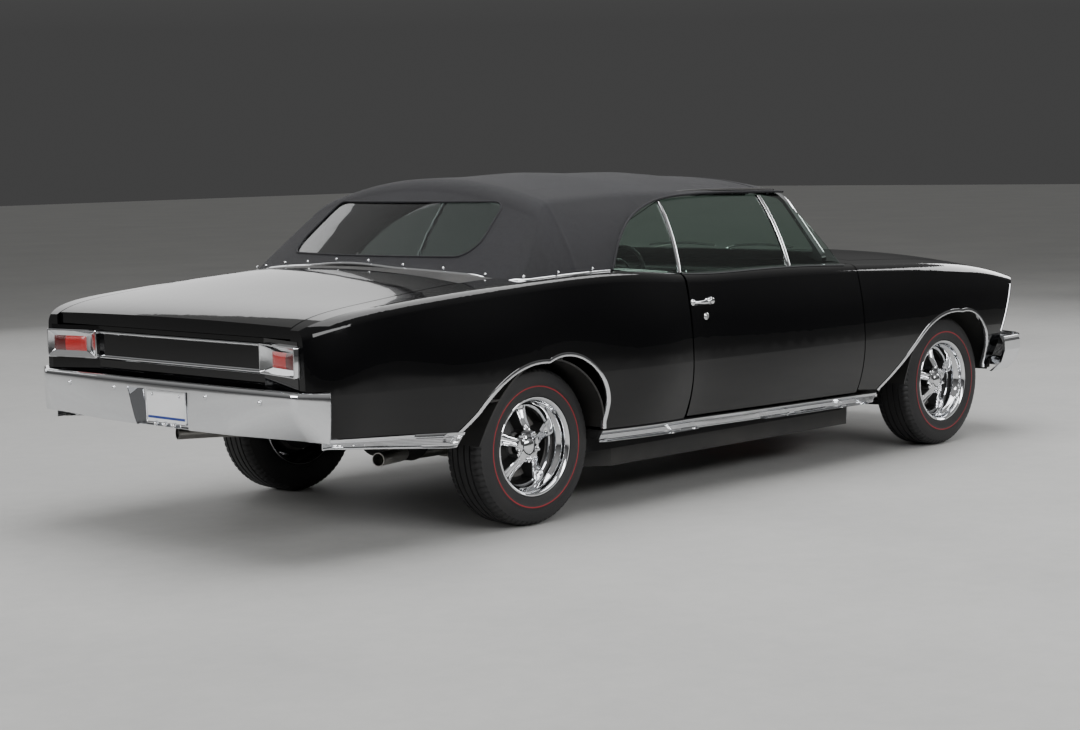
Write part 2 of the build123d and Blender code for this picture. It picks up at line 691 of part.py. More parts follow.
def make_rear_axle():
    """Axle housing, differential and propeller shaft, with the trailing arms ahead of it."""
    with BuildPart() as axle:
        with BuildSketch(Plane.XZ.offset(-748)):
            with Locations((AXLE_REAR_X, WHEEL_Z)):
                Circle(STUB_R)
        extrude(amount=2 * 748)
        with BuildSketch(Plane.XZ.offset(-648)):
            with Locations((AXLE_REAR_X, WHEEL_Z)):
                Circle(38)
        extrude(amount=2 * 648)
        with BuildSketch(Plane.XZ.offset(-110)):
            with Locations((AXLE_REAR_X - 10, WHEEL_Z)):
                Circle(118)
        extrude(amount=220)
        with BuildSketch(Plane.YZ.offset(AXLE_REAR_X)):
            with Locations((0, WHEEL_Z)):
                Circle(70)
        extrude(amount=200)
        with BuildSketch(Plane.YZ.offset(AXLE_REAR_X)):
            with Locations((0, WHEEL_Z)):
                Circle(38)
        extrude(amount=705 - AXLE_REAR_X)
        for side in (-1, 1):
            with BuildSketch(Plane.XZ.offset(-side * 645)):
                with Locations((AXLE_REAR_X, WHEEL_Z)):
                    Circle(128)
            extrude(amount=8 * side)
            add(block((AXLE_REAR_X, side * 400 - 20, 270), (-800, side * 400 + 20, 310)))
            with Locations((AXLE_REAR_X, side * SPRING_Y, 352)):
                Cylinder(52, 20)
    return axle.part


# Wheel and tyre sections: (radius, distance outwards from the wheel's middle plane)
RIM_OUTLINE = [
    (202, 97), (202, 91), (191, 85), (191, 62), (172, 46), (172, -40), (191, -56), (191, -85),
    (202, -91), (202, -97), (196, -97), (185, -86), (185, -60), (166, -44), (166, 50), (185, 66),
    (185, 86), (196, 97),
]
TYRE_OUTLINE = [
    (192, 83), (202.5, 89), (203.5, 98), (236, 106), (268, 106), (296, 98), (315, 84), (TYRE_R, 58),
    (TYRE_R, -58), (315, -84), (296, -98), (268, -106), (236, -106), (203.5, -98), (202.5, -89),
    (192, -83),
    (192, -66), (240, -90), (290, -82), (304, -50), (304, 50), (290, 82), (240, 90), (192, 66),
]
SPOKES = 5


def turned(points, x, y_middle):
    """A closed (radius, out) outline turned about a left wheel's axle."""
    with BuildPart() as ring:
        with BuildSketch(Plane.XY) as profile:
            with BuildLine():
                Polyline(*[(x + r, y_middle + out) for r, out in points], close=True)
            make_face()
        revolve(axis=Axis((x, y_middle, 0), (0, 1, 0)))
    return Pos(0, 0, WHEEL_Z) * ring.part


# The wheel's cast centre: (radius, distance outwards) of its dished face and its back
CENTRE_OUTLINE = [
    (HUB_BORE_R, 22), (0, 22), (0, 74), (30, 74), (38, 68), (40, 54), (72, 50), (84, 44), (110, 26),
    (140, 12), (173, 4), (173, -26), (140, -20), (100, -6), (60, -14), (48, -62), (HUB_BORE_R, -62),
]
POCKET_ROUND = 9.0
LUG_CIRCLE_R = 60.0


def make_wheel(x):
    """One left wheel: stepped rim, dished centre with five spokes, hub with cap, and drum."""
    y = HALF_TRACK
    rim = turned(RIM_OUTLINE, x, y)
    centre = turned(CENTRE_OUTLINE, x, y)
    drum = turned([(40, -24), (132, -24), (140, -32), (140, -84), (134, -84), (134, -38),
                   (40, -38)], x, y)
    with BuildPart() as pockets:
        with BuildSketch(Plane.XZ.offset(-(y + 70))) as outline:
            for index in range(SPOKES):
                angle = 90 + (index + 0.5) * 360 / SPOKES
                with Locations(Location((x, WHEEL_Z), angle)):
                    with Locations((122, 0)):
                        Trapezoid(96, 66, 70, rotation=90)
            fillet(outline.vertices(), POCKET_ROUND)
        extrude(amount=-98)
    with BuildPart() as grooves:
        with BuildSketch(Plane.XZ.offset(-(y + 70))):
            for index in range(SPOKES):
                with Locations(Location((x, WHEEL_Z), 90 + index * 360 / SPOKES)):
                    with Locations((124, 0)):
                        SlotOverall(64, 12)
                with Locations(Location((x, WHEEL_Z), 90 + (index + 0.5) * 360 / SPOKES)):
                    with Locations((LUG_CIRCLE_R, 0)):
                        Circle(11)
        extrude(amount=-52)
    return rim + (centre - pockets.part - grooves.part) + drum


def make_tyre(x):
    """One left tyre as a hollow ring, standing on the ground."""
    return turned(TYRE_OUTLINE, x, HALF_TRACK)


def tube(points, radius, bend):
    """A round pipe along straight runs joined by arcs of one radius."""
    with BuildPart() as pipe:
        with BuildLine() as route:
            FilletPolyline(*points, radius=bend)
        with BuildSketch(Plane(origin=route.line @ 0, z_dir=route.line % 0)):
            Circle(radius)
        sweep()
    return pipe.part


def make_exhaust():
    """Two pipes with mufflers, over the rear axle and out behind the rear wheels."""
    pipe = tube(
        [(1060, 330, 215), (900, 330, 150), (-950, 330, 150), (-1130, 330, 350), (-1230, 330, 424),
         (-1420, 330, 424), (-1600, 330, 336), (-1770, 590, 330), (-1950, 650, 334)], 27, 50,
    )
    with BuildPart() as muffler:
        with BuildSketch(Plane.YZ.offset(-700)):
            with Locations((330, 165)):
                Ellipse(105, 50)
        extrude(amount=560)
    bore = Cylinder(24, 240)
    outlet = Plane(origin=(-1950, 650, 334), z_dir=(-180, 60, 4)).location * bore
    return both_sides(pipe + muffler.part - outlet)


def make_fuel_tank():
    """The flat fuel tank between the rear rails."""
    with BuildPart() as tank:
        add(block((-2350, -440, 446), (-1830, 440, 530)))
        fillet(tank.edges().filter_by(Axis.Y), 24)
    return tank.part


def make_engine():
    """One plain block for the engine with its gearbox, sump and air cleaner."""
    with BuildPart() as engine:
        with BuildSketch(Plane.YZ.offset(1120)):
            with BuildLine():
                Polyline((-110, 310), (110, 310), (170, 470), (330, 700), (250, 790), (-250, 790),
                         (-330, 700), (-170, 470), close=True)
            make_face()
        extrude(amount=720)
        with BuildSketch(Plane.XY.offset(790)):
            with Locations((1450, 0)):
                Circle(185)
        extrude(amount=70)
        with BuildSketch(Plane.YZ.offset(705)):
            with Locations((0, 320)):
                Circle(78)
        extrude(amount=420)
    return engine.part


def make_radiator_support():
    """The panel across the nose that holds the radiator."""
    panel = INNER & block((2066, -1000, 352), (2078, 1000, 800))
    panel = panel - block((2000, -320, 400), (2100, 320, 740))
    return panel + block((2026, -330, 390), (2066, 330, 750))


COLUMN_TILT = 112.0   # the steering column's lean from upright


def make_dashboard():
    """Dashboard, centre console and steering column."""
    board = side_prism([(690, 880), (725, 925), (900, 930), (990, 900), (990, 620), (800, 620),
                        (735, 700)], -734, 734)
    console = block((-60, -95, 402), (800, 95, 520))
    column = Pos(709, 370, 773) * Rot(0, COLUMN_TILT, 0) * Cylinder(32, 340)
    return (board & INNER) + console + column


def make_steering_wheel():
    """The steering wheel: a thin ring with three spokes and a hub."""
    with BuildPart() as ring:
        Torus(190, 10)
        Cylinder(38, 30)
        with BuildSketch(Plane.XY.offset(-4)):
            for angle in (0, 120, 240):
                with Locations(Location((0, 0), angle)):
                    with Locations((110, 0)):
                        Rectangle(165, 22)
        extrude(amount=8)
    return Pos(533, 370, 844) * Rot(0, COLUMN_TILT, 0) * ring.part


def cushion(points, y_low, y_high, rounding):
    """A plain padded solid from a side-view outline, with its long edges rounded."""
    with BuildPart() as pad:
        add(side_prism(points, y_low, y_high))
        fillet(pad.edges().filter_by(Axis.Y), rounding)
    return pad.part


def make_seats():
    """Two bucket seats, and the rear bench with its back."""
    bucket = [(430, 335), (400, 500), (-80, 440), (-230, 960), (-330, 950), (-200, 335)]
    front = cushion(bucket, 130, 625, 30)
    foot = block((-140, 180, FLOOR_TOP), (330, 575, 335))
    bench = [(-600, 414), (-600, 570), (-1000, 530), (-1090, 915), (-1170, 915), (-1170, 445)]
    rear = cushion(bench, -590, 590, 25)
    return both_sides(front + foot), rear


def make_sill_mouldings():
    """The bright mouldings along the sills."""
    raised = body_loft(-4.0, 2.0, 0.0)
    band = side_prism(
        [(SILL_REAR_X + 6, sill_line(SILL_REAR_X, -MOULDING_H)),
         (SILL_FRONT_X - 6, sill_line(SILL_FRONT_X, -MOULDING_H)),
         (SILL_FRONT_X - 6, sill_line(SILL_FRONT_X)), (SILL_REAR_X + 6, sill_line(SILL_REAR_X))],
        800, 1100,
    )
    return both_sides((raised & band) - OUTER)


def bumper(rows, heights):
    """A bumper face as a ruled loft of plan bands, from (forward shift, inward shift, height) rows.

    Each plan point's third number is its share of the forward shift, so that the ends tuck under.
    """
    with BuildPart() as bar:
        for back, tuck, z in heights:
            with BuildSketch(Plane.XY.offset(z)):
                with BuildLine():
                    lines = [
                        [(x - share * back * math.copysign(1, x), y - (tuck if y else 0))
                         for x, y, share in rows[key]]
                        for key in ("outer", "inner")
                    ]
                    Polyline(*lines[0], *lines[1][::-1])
                    mirror(about=Plane.XZ)
                make_face()
        loft(ruled=True)
    return bar.part


# Plan lines of each bumper's face, from the centreline round to its end beside the body
REAR_BUMPER = {
    "outer": [(-2502, 0, 0.4), (-2499, 420, 0.8), (-2490, 800, 2.6), (-2416, 931, 0)],
    "inner": [(-2488, 0, 0.4), (-2485, 418, 0.8), (-2477, 792, 2.6), (-2416, 904, 0)],
    "heights": [(26, 10, 470), (16, 5, 500), (6, 2, 560), (0, 0, 610), (0, 0, 640), (4, 0, 654)],
    "shelf": [(-2440, 0), (-2440, 780), (-2424, 870), (-2416, 904)],
}
FRONT_BUMPER = {
    "outer": [(2502, 0, 1), (2484, 420, 1), (2440, 640, 1), (2352, 838, 1), (2270, 896, 1),
              (2096, 914, 1)],
    "inner": [(2488, 0, 1), (2470, 416, 1), (2428, 630, 1), (2342, 824, 1), (2264, 882, 1),
              (2096, 900, 1)],
    "heights": [(52, 46, 336), (16, 12, 380), (0, 0, 440), (2, 0, 486), (16, 8, 516)],
    "shelf": [(2440, 0), (2424, 400), (2380, 600), (2300, 780), (2240, 850), (2110, 880)],
}
PLATE_SPACING = 177.8  # the two bolts of a licence plate
PLATE_BACK_X = -2462.0
BOLT_Z = 592.0


def bumper_shelf(bumper_rows, z_low, z_high):
    """The flat ledge along a bumper's top, from its face back towards the body."""
    half = [(x - 4 * math.copysign(1, x), y) for x, y, _ in bumper_rows["outer"]]
    return both_sides(plan_prism(half + bumper_rows["shelf"][::-1], z_low, z_high))


def make_bumpers():
    """Front and rear bumpers with their ledges and brackets, and the rear one's plate recess."""
    rear = bumper(REAR_BUMPER, REAR_BUMPER["heights"]) + bumper_shelf(REAR_BUMPER, 641, 652)
    trapezoid = [(-205, 618), (205, 618), (172, 470), (-172, 470)]
    with BuildPart() as recess:
        with BuildSketch(Plane.YZ.offset(-2520)):
            with BuildLine():
                Polyline(*trapezoid, close=True)
            make_face()
        extrude(amount=50)
    with BuildPart() as pan:
        with BuildSketch(Plane.YZ.offset(-2492)):
            with BuildLine():
                Polyline(*[(y * 1.03, z + (6 if z > 500 else 0)) for y, z in trapezoid], close=True)
            make_face()
        extrude(amount=-2452 + 2492)
    with BuildPart() as hollow:
        with BuildSketch(Plane.YZ.offset(-2520)):
            with BuildLine():
                Polyline(*trapezoid, close=True)
            make_face()
        extrude(amount=2520 + PLATE_BACK_X)
    rear = (rear - recess.part) + (pan.part - hollow.part)
    for side in (-1, 1):
        bolt = Pos(PLATE_BACK_X, side * PLATE_SPACING / 2, BOLT_Z) * Rot(0, 90, 0) * Cylinder(3.5, 60)
        rear = rear - bolt
    rear = rear + both_sides(side_prism(
        [(-2466, 500), (-2430, 500), (-2430, 536), (-2441, 536), (-2441, 580), (-2485, 580)],
        *REAR_RAIL))
    front = bumper(FRONT_BUMPER, FRONT_BUMPER["heights"]) + bumper_shelf(FRONT_BUMPER, 500, 511)
    front = front + both_sides(side_prism(
        [(2330, 250), (2330, 340), (2440, 470), (2474, 470), (2474, 410), (2400, 330)], *FRONT_RAIL))
    ledge = both_sides(plan_prism([(-2455, 0), (-2402, 0), (-2402, 533), (-2453, 774)], 641, 652))
    tail_corner = both_sides(block((-2457, 784, 636), (-2440, 806, 656)))
    return front - SHELL, (rear - (OUTER - both_sides(BUMPER_NOTCH)) - tail_corner) + ledge


TAIL_FACE = [(-2398, 0), (-2398, 537), (-2452, 800)]
LAMP_LOW = 705.0
LAMP_HIGH = 813.0


def make_tail():
    """The recessed tail panel with its end caps, and the two tail lamps."""
    behind = [(x + 12, y) for x, y in reversed(TAIL_FACE)]
    panel = both_sides(plan_prism(TAIL_FACE + behind, TRUNK_Z + SHEET, 835))
    cap = INNER & block((-2450, 800, 568), (-2438, 1000, 900))
    cap = cap + (INNER & block((-2450, LID_HALF_REAR + GAP, 836), (-2438, 801, 900)))
    gutter = block((-2386, -752, 823), (-2340, 752, 835))
    lens = plan_prism(
        [(-2397, 545), (-2450, 796), (-2462, 796), (-2409, 545)], LAMP_LOW, LAMP_HIGH
    )
    bezel = plan_prism(
        [(-2397, 530), (-2450, 806), (-2474, 806), (-2419, 530)], LAMP_LOW - 14, LAMP_HIGH + 14
    )
    mouth = plan_prism(
        [(-2380, 543), (-2440, 798), (-2500, 798), (-2440, 543)], LAMP_LOW - 2, LAMP_HIGH + 2
    )
    lamp = (lens - panel) + (bezel - mouth - panel - cap)
    return panel + both_sides(cap) + gutter, both_sides(lamp)


GRILLE_BACK = 62.0    # how far the grille stands behind the leading edge
GRILLE_LOW = 542.0
GRILLE_HIGH = 772.0
LAMP_SPOTS = (545, 702)
LAMP_Z = 662.0
LAMP_R = 70.0
BAR_PITCH = 21.0


def make_grille():
    """The leaning grille panel with its slots and lamp housings, and the four headlamps."""
    sheet = nose_cutter(GRILLE_BACK) - nose_cutter(GRILLE_BACK - 12)
    panel = INNER & sheet & block((1900, -1000, GRILLE_LOW), (2600, 1000, GRILLE_HIGH))
    slots = [
        block((2100, -455, low), (2500, 455, low + 10))
        for low in [GRILLE_LOW + 16 + BAR_PITCH * row for row in range(10)]
    ]
    panel = panel - slots
    lamps = Part()
    behind = block((1900, -1000, 400), (2600, 1000, 900)) - nose_cutter(GRILLE_BACK - 6)
    for y in LAMP_SPOTS:
        for side in (-1, 1):
            x = nose_x(y, LAMP_Z, GRILLE_BACK)
            place = Pos(x, side * y, LAMP_Z) * Rot(0, 90, 0)
            housing = place * Pos(0, 0, -20) * Cylinder(LAMP_R + 8, 90)
            panel = panel - place * Cylinder(LAMP_R + 6, 200)
            panel = panel + (housing - behind - place * Cylinder(LAMP_R, 200))
            with BuildPart() as lamp:
                Cylinder(LAMP_R, 44)
                fillet(lamp.edges().group_by(Axis.Z)[-1], 12)
            lamps = lamps + place * Pos(0, 0, -8) * lamp.part
    return panel, lamps


def main():
    """Makes every piece and writes it."""
    fender, quarter, door = make_side_panels()
    hood, lid, strip = make_lids()
    lip = INNER & block((-2436, -LID_HALF_REAR, 842), (-2424, LID_HALF_REAR, 900))
    keep("hood", hood)
    keep("trunk_lid", lid + lip)
    quarter_glass, door_glass, vent_bar = make_side_glass()
    slot = side_glass_band(0, GLASS_T, -900, 900)
    pocket = block((-800, 700, 940), (DOOR_FRONT_X - 20, 1000, 1100))
    door = door - (slot & pocket) + vent_bar
    quarter = quarter - (slot & pocket)
    for name, part in (("front_fender", fender), ("quarter", quarter), ("door", door),
                       ("door_glass", door_glass), ("frame_rail", make_rail()),
                       ("knuckle", make_knuckle())):
        keep(f"{name}_left", part)
        keep(f"{name}_right", mirror(part, about=Plane.XZ))
    keep("quarter_glass", both_sides(quarter_glass))
    cloth, pane = make_soft_top()
    glass, frame = make_windshield()
    keep("soft_top", cloth)
    keep("rear_window", pane)
    keep("windshield", glass)
    keep("windshield_frame", frame)
    keep("floor_pan", make_floor())
    keep("trunk_floor", make_trunk() + strip)
    keep("firewall", make_firewall())
    arm_gap = block((AXLE_FRONT_X - 135, 400, 300), (AXLE_FRONT_X + 135, 460, 500))
    keep("front_wheelhouses", both_sides(wheelhouse(AXLE_FRONT_X, 440, 400, 345) - arm_gap))
    keep("radiator_support", make_radiator_support())
    keep("engine", make_engine())
    keep("crossmembers", make_crossmembers())
    keep("control_arms", make_control_arms())
    keep("rear_axle", make_rear_axle())
    keep("exhaust", make_exhaust())
    keep("fuel_tank", make_fuel_tank())
    keep("dashboard", make_dashboard() - PIECES["floor_pan"])
    keep("steering_wheel", make_steering_wheel())
    front_seats, rear_seat = make_seats()
    keep("front_seats", front_seats)
    keep("rear_seat", rear_seat)
    keep("sill_mouldings", make_sill_mouldings())
    front_bumper, rear_bumper = make_bumpers()
    keep("front_bumper", front_bumper)
    keep("rear_bumper", rear_bumper)
    tail, tail_lamps = make_tail()
    keep("tail_panel", tail)
    keep("tail_lamps", tail_lamps)
    grille, headlamps = make_grille()
    keep("grille", grille)
    keep("headlamps", headlamps)
    for axle, x in (("front", AXLE_FRONT_X), ("rear", AXLE_REAR_X)):
        for name, part in (("wheel", make_wheel(x)), ("tyre", make_tyre(x))):
            keep(f"{name}_{axle}_left", part)
            keep(f"{name}_{axle}_right", mirror(part, about=Plane.XZ))
    os.makedirs("parts", exist_ok=True)
    for name, part in PIECES.items():
        export_step(part, f"parts/{name}.step")


main()
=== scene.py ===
# %% [markdown]
# # A two-door convertible muscle car with its fabric top up
#
# The car's panels, glass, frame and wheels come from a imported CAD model, which is loaded first and
# never moved. This script gives every one of them a finish, and adds what a drawing of panels can't
# hold: cloth, padding, tyres, bright trim, lamps and the small things on them. Lengths are metres.
# +X is the way the car drives, +Y its left side, +Z up, and the ground is at zero.

# %% Load the fixed frame
import json

import bmesh
import bpy
import numpy as np
from mathutils import Matrix, Vector
from mathutils.bvhtree import BVHTree


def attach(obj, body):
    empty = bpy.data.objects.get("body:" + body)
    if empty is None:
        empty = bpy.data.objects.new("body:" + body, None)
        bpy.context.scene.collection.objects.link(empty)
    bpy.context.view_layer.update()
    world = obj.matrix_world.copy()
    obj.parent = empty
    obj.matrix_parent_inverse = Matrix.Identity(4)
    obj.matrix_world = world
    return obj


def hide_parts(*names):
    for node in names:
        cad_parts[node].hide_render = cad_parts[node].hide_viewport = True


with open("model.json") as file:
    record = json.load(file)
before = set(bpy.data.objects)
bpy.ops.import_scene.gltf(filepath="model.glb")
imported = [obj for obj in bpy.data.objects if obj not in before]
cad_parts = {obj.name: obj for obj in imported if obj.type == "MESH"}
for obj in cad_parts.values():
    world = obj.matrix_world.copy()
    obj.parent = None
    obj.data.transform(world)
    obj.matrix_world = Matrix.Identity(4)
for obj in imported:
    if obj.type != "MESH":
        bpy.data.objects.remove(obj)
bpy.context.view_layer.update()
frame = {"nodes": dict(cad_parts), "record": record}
NODES = frame["nodes"]
SCENE = bpy.context.scene
SIDES = {"right": -1, "left": 1}
print("loaded", len(NODES), "nodes")

# %% [markdown]
# The camera stands where the photographer stood, behind the car's right rear corner, a little below
# eye height, with a lens of 70 mm on a 36 mm frame. Its direction is worked out from a turn, a
# downward tilt and a slight roll, because those three numbers are easier to read than a matrix.

# %% Camera
CAMERA_AT = np.array([-7.239, -6.711, 1.497])
CAMERA_TURN, CAMERA_TILT, CAMERA_ROLL = np.radians([44.39, -5.76, -1.19])


def placed(name, data):
    """A new object of the scene around some data."""
    made = bpy.data.objects.new(name, data)
    SCENE.collection.objects.link(made)
    return made


def make_camera():
    """Axes: ahead = (cos t cos p, sin t cos p, sin p); right and up turn about it by the roll."""
    ahead = np.array([np.cos(CAMERA_TURN) * np.cos(CAMERA_TILT),
                      np.sin(CAMERA_TURN) * np.cos(CAMERA_TILT), np.sin(CAMERA_TILT)])
    level = np.cross(ahead, [0, 0, 1.0])
    level /= np.linalg.norm(level)
    upright = np.cross(level, ahead)
    right = np.cos(CAMERA_ROLL) * level + np.sin(CAMERA_ROLL) * upright
    up = np.cos(CAMERA_ROLL) * upright - np.sin(CAMERA_ROLL) * level
    data = bpy.data.cameras.new("camera")
    data.sensor_width = 36.0
    data.lens = 70.0
    pose = np.eye(4)
    pose[:3] = np.column_stack([right, up, -ahead, CAMERA_AT])
    SCENE.camera = placed("camera", data)
    SCENE.camera.matrix_world = Matrix(pose.tolist())


make_camera()

# %% [markdown]
# Black paint shows almost nothing but what it reflects, so the light is made of large soft panels:
# one overhead for the deck and roof, one along each side for the flanks, and one behind for the
# tail. The floor is pale and rough, and it lights the lower body the way concrete does. The room
# beyond is dark low down and brighter overhead, which gives chrome its dark line at eye height.

# %% Light and floor
LIGHTS = [
    # name, place, target, size, power
    ("over", (0.4, -0.6, 6.4), (0.0, 0, 0), (8.0, 6.0), 640),
    ("right_side", (-1.5, -8.5, 4.4), (0, 0, 0.6), (9.0, 2.0), 420),
    ("left_side", (2.0, 9.5, 3.6), (0, 0, 0.9), (17.0, 5.0), 300),
    ("tail", (-9.5, 1.5, 3.8), (-2.0, 0, 0.6), (6.0, 2.0), 380),
    ("nose", (9.0, -1.0, 3.6), (2.0, 0, 0.6), (6.0, 2.0), 240),
]
for light_name, place, target, size, power in LIGHTS:
    panel = bpy.data.lights.new(light_name, "AREA")
    panel.shape = "RECTANGLE"
    panel.size, panel.size_y = size
    panel.energy = power
    lamp = placed(light_name, panel)
    lamp.location = place
    lamp.rotation_euler = (Vector(target) - Vector(place)).to_track_quat("-Z", "Y").to_euler()

world = bpy.data.worlds.new("studio")
SCENE.world = world
world.use_nodes = True
sky = world.node_tree
spot = sky.nodes.new("ShaderNodeTexCoord")
split = sky.nodes.new("ShaderNodeSeparateXYZ")
ramp = sky.nodes.new("ShaderNodeMapRange")
blend = sky.nodes.new("ShaderNodeMix")
blend.data_type = "RGBA"
ramp.inputs["From Min"].default_value, ramp.inputs["From Max"].default_value = 0.06, 0.55
blend.inputs[6].default_value = (0.13, 0.13, 0.13, 1)
blend.inputs[7].default_value = (0.62, 0.62, 0.61, 1)
sky.links.new(spot.outputs["Generated"], split.inputs[0])
sky.links.new(split.outputs["Z"], ramp.inputs["Value"])
sky.links.new(ramp.outputs["Result"], blend.inputs[0])
sky.links.new(blend.outputs[2], sky.nodes["Background"].inputs["Color"])
sky.nodes["Background"].inputs["Strength"].default_value = 0.45

# %% [markdown]
# Shader sums read best as sums. A Wire holds one output socket, and Python's own signs between
# wires and numbers add the Math nodes. Any other node comes from Finish.node, which sets the node's
# own settings first and then its sockets, from values or wires.

# %% Shader helpers
class Wire:
    """One output socket of a finish, which takes part in sums with numbers and other wires."""

    def __init__(self, finish, socket):
        self.finish, self.socket = finish, socket

    def math(self, operation, *others):
        """This wire and the others through one Math node."""
        inputs = dict(enumerate((self, *others)))
        return self.finish.node("ShaderNodeMath", {"operation": operation}, inputs)

    def __add__(self, other):
        return self.math("ADD", other)

    def __sub__(self, other):
        return self.math("SUBTRACT", other)

    def __mul__(self, other):
        return self.math("MULTIPLY", other)

    def __truediv__(self, other):
        return self.math("DIVIDE", other)

    def __rsub__(self, other):
        return (self * -1.0).math("ADD", other)

    def __pow__(self, other):
        return self.math("POWER", other)

    __radd__, __rmul__ = __add__, __mul__

    def between(self, low, high):
        """0 below low, 1 above high, and straight between them."""
        return ((self - low) / (high - low)).math("MINIMUM", 1.0).math("MAXIMUM", 0.0)


FINISHES = {}


class Finish:
    """A material under construction around one Principled shader, listed under its name."""

    def __init__(self, name, **constants):
        self.material = FINISHES[name] = bpy.data.materials.new(name)
        self.material.use_nodes = True
        self.tree = self.material.node_tree
        self.shader = self.tree.nodes["Principled BSDF"]
        for key, value in constants.items():
            self.shader.inputs[key.replace("_", " ")].default_value = value

    def node(self, kind, settings=None, inputs=None, out=0):
        """A new node, its settings, then its sockets; gives back the wire of one output."""
        node = self.tree.nodes.new(kind)
        for key, value in (settings or {}).items():
            setattr(node, key, value)
        for key, value in (inputs or {}).items():
            if isinstance(value, Wire):
                self.tree.links.new(value.socket, node.inputs[key])
            else:
                node.inputs[key].default_value = value
        return Wire(self, node.outputs[out])

    def place(self):
        """The three Object coordinates, in metres."""
        spot = self.node("ShaderNodeTexCoord", out=3)
        split = self.node("ShaderNodeSeparateXYZ", inputs={0: spot})
        return spot, [Wire(self, split.socket.node.outputs[i]) for i in range(3)]

    def noise(self, scale, detail=3.0, rough=0.5, where=None):
        """Fractal noise from 0 to 1, with scale in turns per metre."""
        spot = where or self.place()[0]
        sockets = {"Vector": spot, "Scale": scale, "Detail": detail, "Roughness": rough}
        return self.node("ShaderNodeTexNoise", inputs=sockets)

    def mix(self, factor, first, second):
        """A colour between two, by a factor."""
        return self.node("ShaderNodeMix", {"data_type": "RGBA"},
                         {0: factor, 6: first, 7: second}, out=2)

    def feed(self, socket, wire):
        """Joins a wire to one of the shader's own sockets."""
        self.tree.links.new(wire.socket, self.shader.inputs[socket])

    def bump(self, height, distance):
        """Feeds a height to the normal; distance is what a height of 1 means, in metres."""
        self.feed("Normal", self.node("ShaderNodeBump", inputs={
            "Height": height, "Distance": distance}))


# %% [markdown]
# Gloss black paint: nearly no colour of its own and a clear coat. A faint orange peel bends the
# reflections a little, and specks of fine dust make the coat duller in places.

# %% Paint
def colour(red, green=None, blue=None):
    """A colour with full alpha; one number gives a grey."""
    return (red, red if green is None else green, red if blue is None else blue, 1.0)


def make_paint():
    """Roughness = 0.035 + 0.06 cloud + 0.1 dust; bump is noise of 4 mm, 0.02 mm high."""
    paint = Finish("gloss_black_paint", Roughness=0.05, Coat_Weight=0.8, Coat_Roughness=0.015,
                   Coat_IOR=1.42, Specular_IOR_Level=0.12)
    cloud = paint.noise(2.2, 4.0)
    specks = paint.noise(420.0, 2.0).between(0.62, 0.78)
    paint.feed("Base Color", paint.mix(specks * 0.3, colour(0.0018, 0.0018, 0.0022),
                                       colour(0.010, 0.010, 0.009)))
    paint.feed("Roughness", 0.035 + cloud.between(0.35, 0.75) * 0.06 + specks * 0.1)
    paint.bump(paint.noise(240.0, 1.0), 0.00002)


make_paint()

# %% [markdown]
# Chrome is a mirror with the last ripple of the pressing under it. Fine haze from polishing keeps
# it from looking like liquid.

# %% Bright metal
def make_metal(name, tint, rough, haze, ripple, metallic=1.0):
    """Roughness = rough + haze * noise, and waves of about 36 mm bend the reflections."""
    metal = Finish(name, Metallic=metallic, Base_Color=colour(*tint))
    streak = metal.noise(60.0, 5.0, 0.65)
    metal.feed("Roughness", rough + streak.between(0.4, 0.8) * haze)
    metal.feed("Base Color", metal.mix(streak.between(0.3, 0.9) * 0.35, colour(*tint),
                                       colour(*[0.8 * part for part in tint])))
    metal.bump(metal.noise(28.0, 2.0), ripple)


make_metal("chrome", (0.83, 0.84, 0.86), 0.035, 0.05, 0.0002)
make_metal("satin_steel", (0.42, 0.41, 0.39), 0.32, 0.2, 0.0004)
make_metal("cast_metal", (0.13, 0.125, 0.12), 0.55, 0.3, 0.0012, 0.6)

# %% [markdown]
# The rest of the shop floor: satin black chassis paint with road dust, moulded dash plastic,
# carpet, rubber, engine paint and painted plate. Each has a grain at its real size, and each is
# duller where the noise gathers, because no used surface is even.

# %% Plain finishes
def make_plain(name, base, dust, rough, grain, depth):
    """Colour goes from base to dust where slow noise gathers; bump is noise of the grain's size."""
    plain = Finish(name)
    slow = plain.noise(5.0, 5.0, 0.6)
    fine = plain.noise(grain, 3.0, 0.6)
    gathered = slow.between(0.42, 0.75) * 0.4 + fine.between(0.5, 0.9) * 0.2
    plain.feed("Base Color", plain.mix(gathered, colour(*base), colour(*dust)))
    plain.feed("Roughness", rough + gathered * 0.25)
    plain.bump(fine, depth)


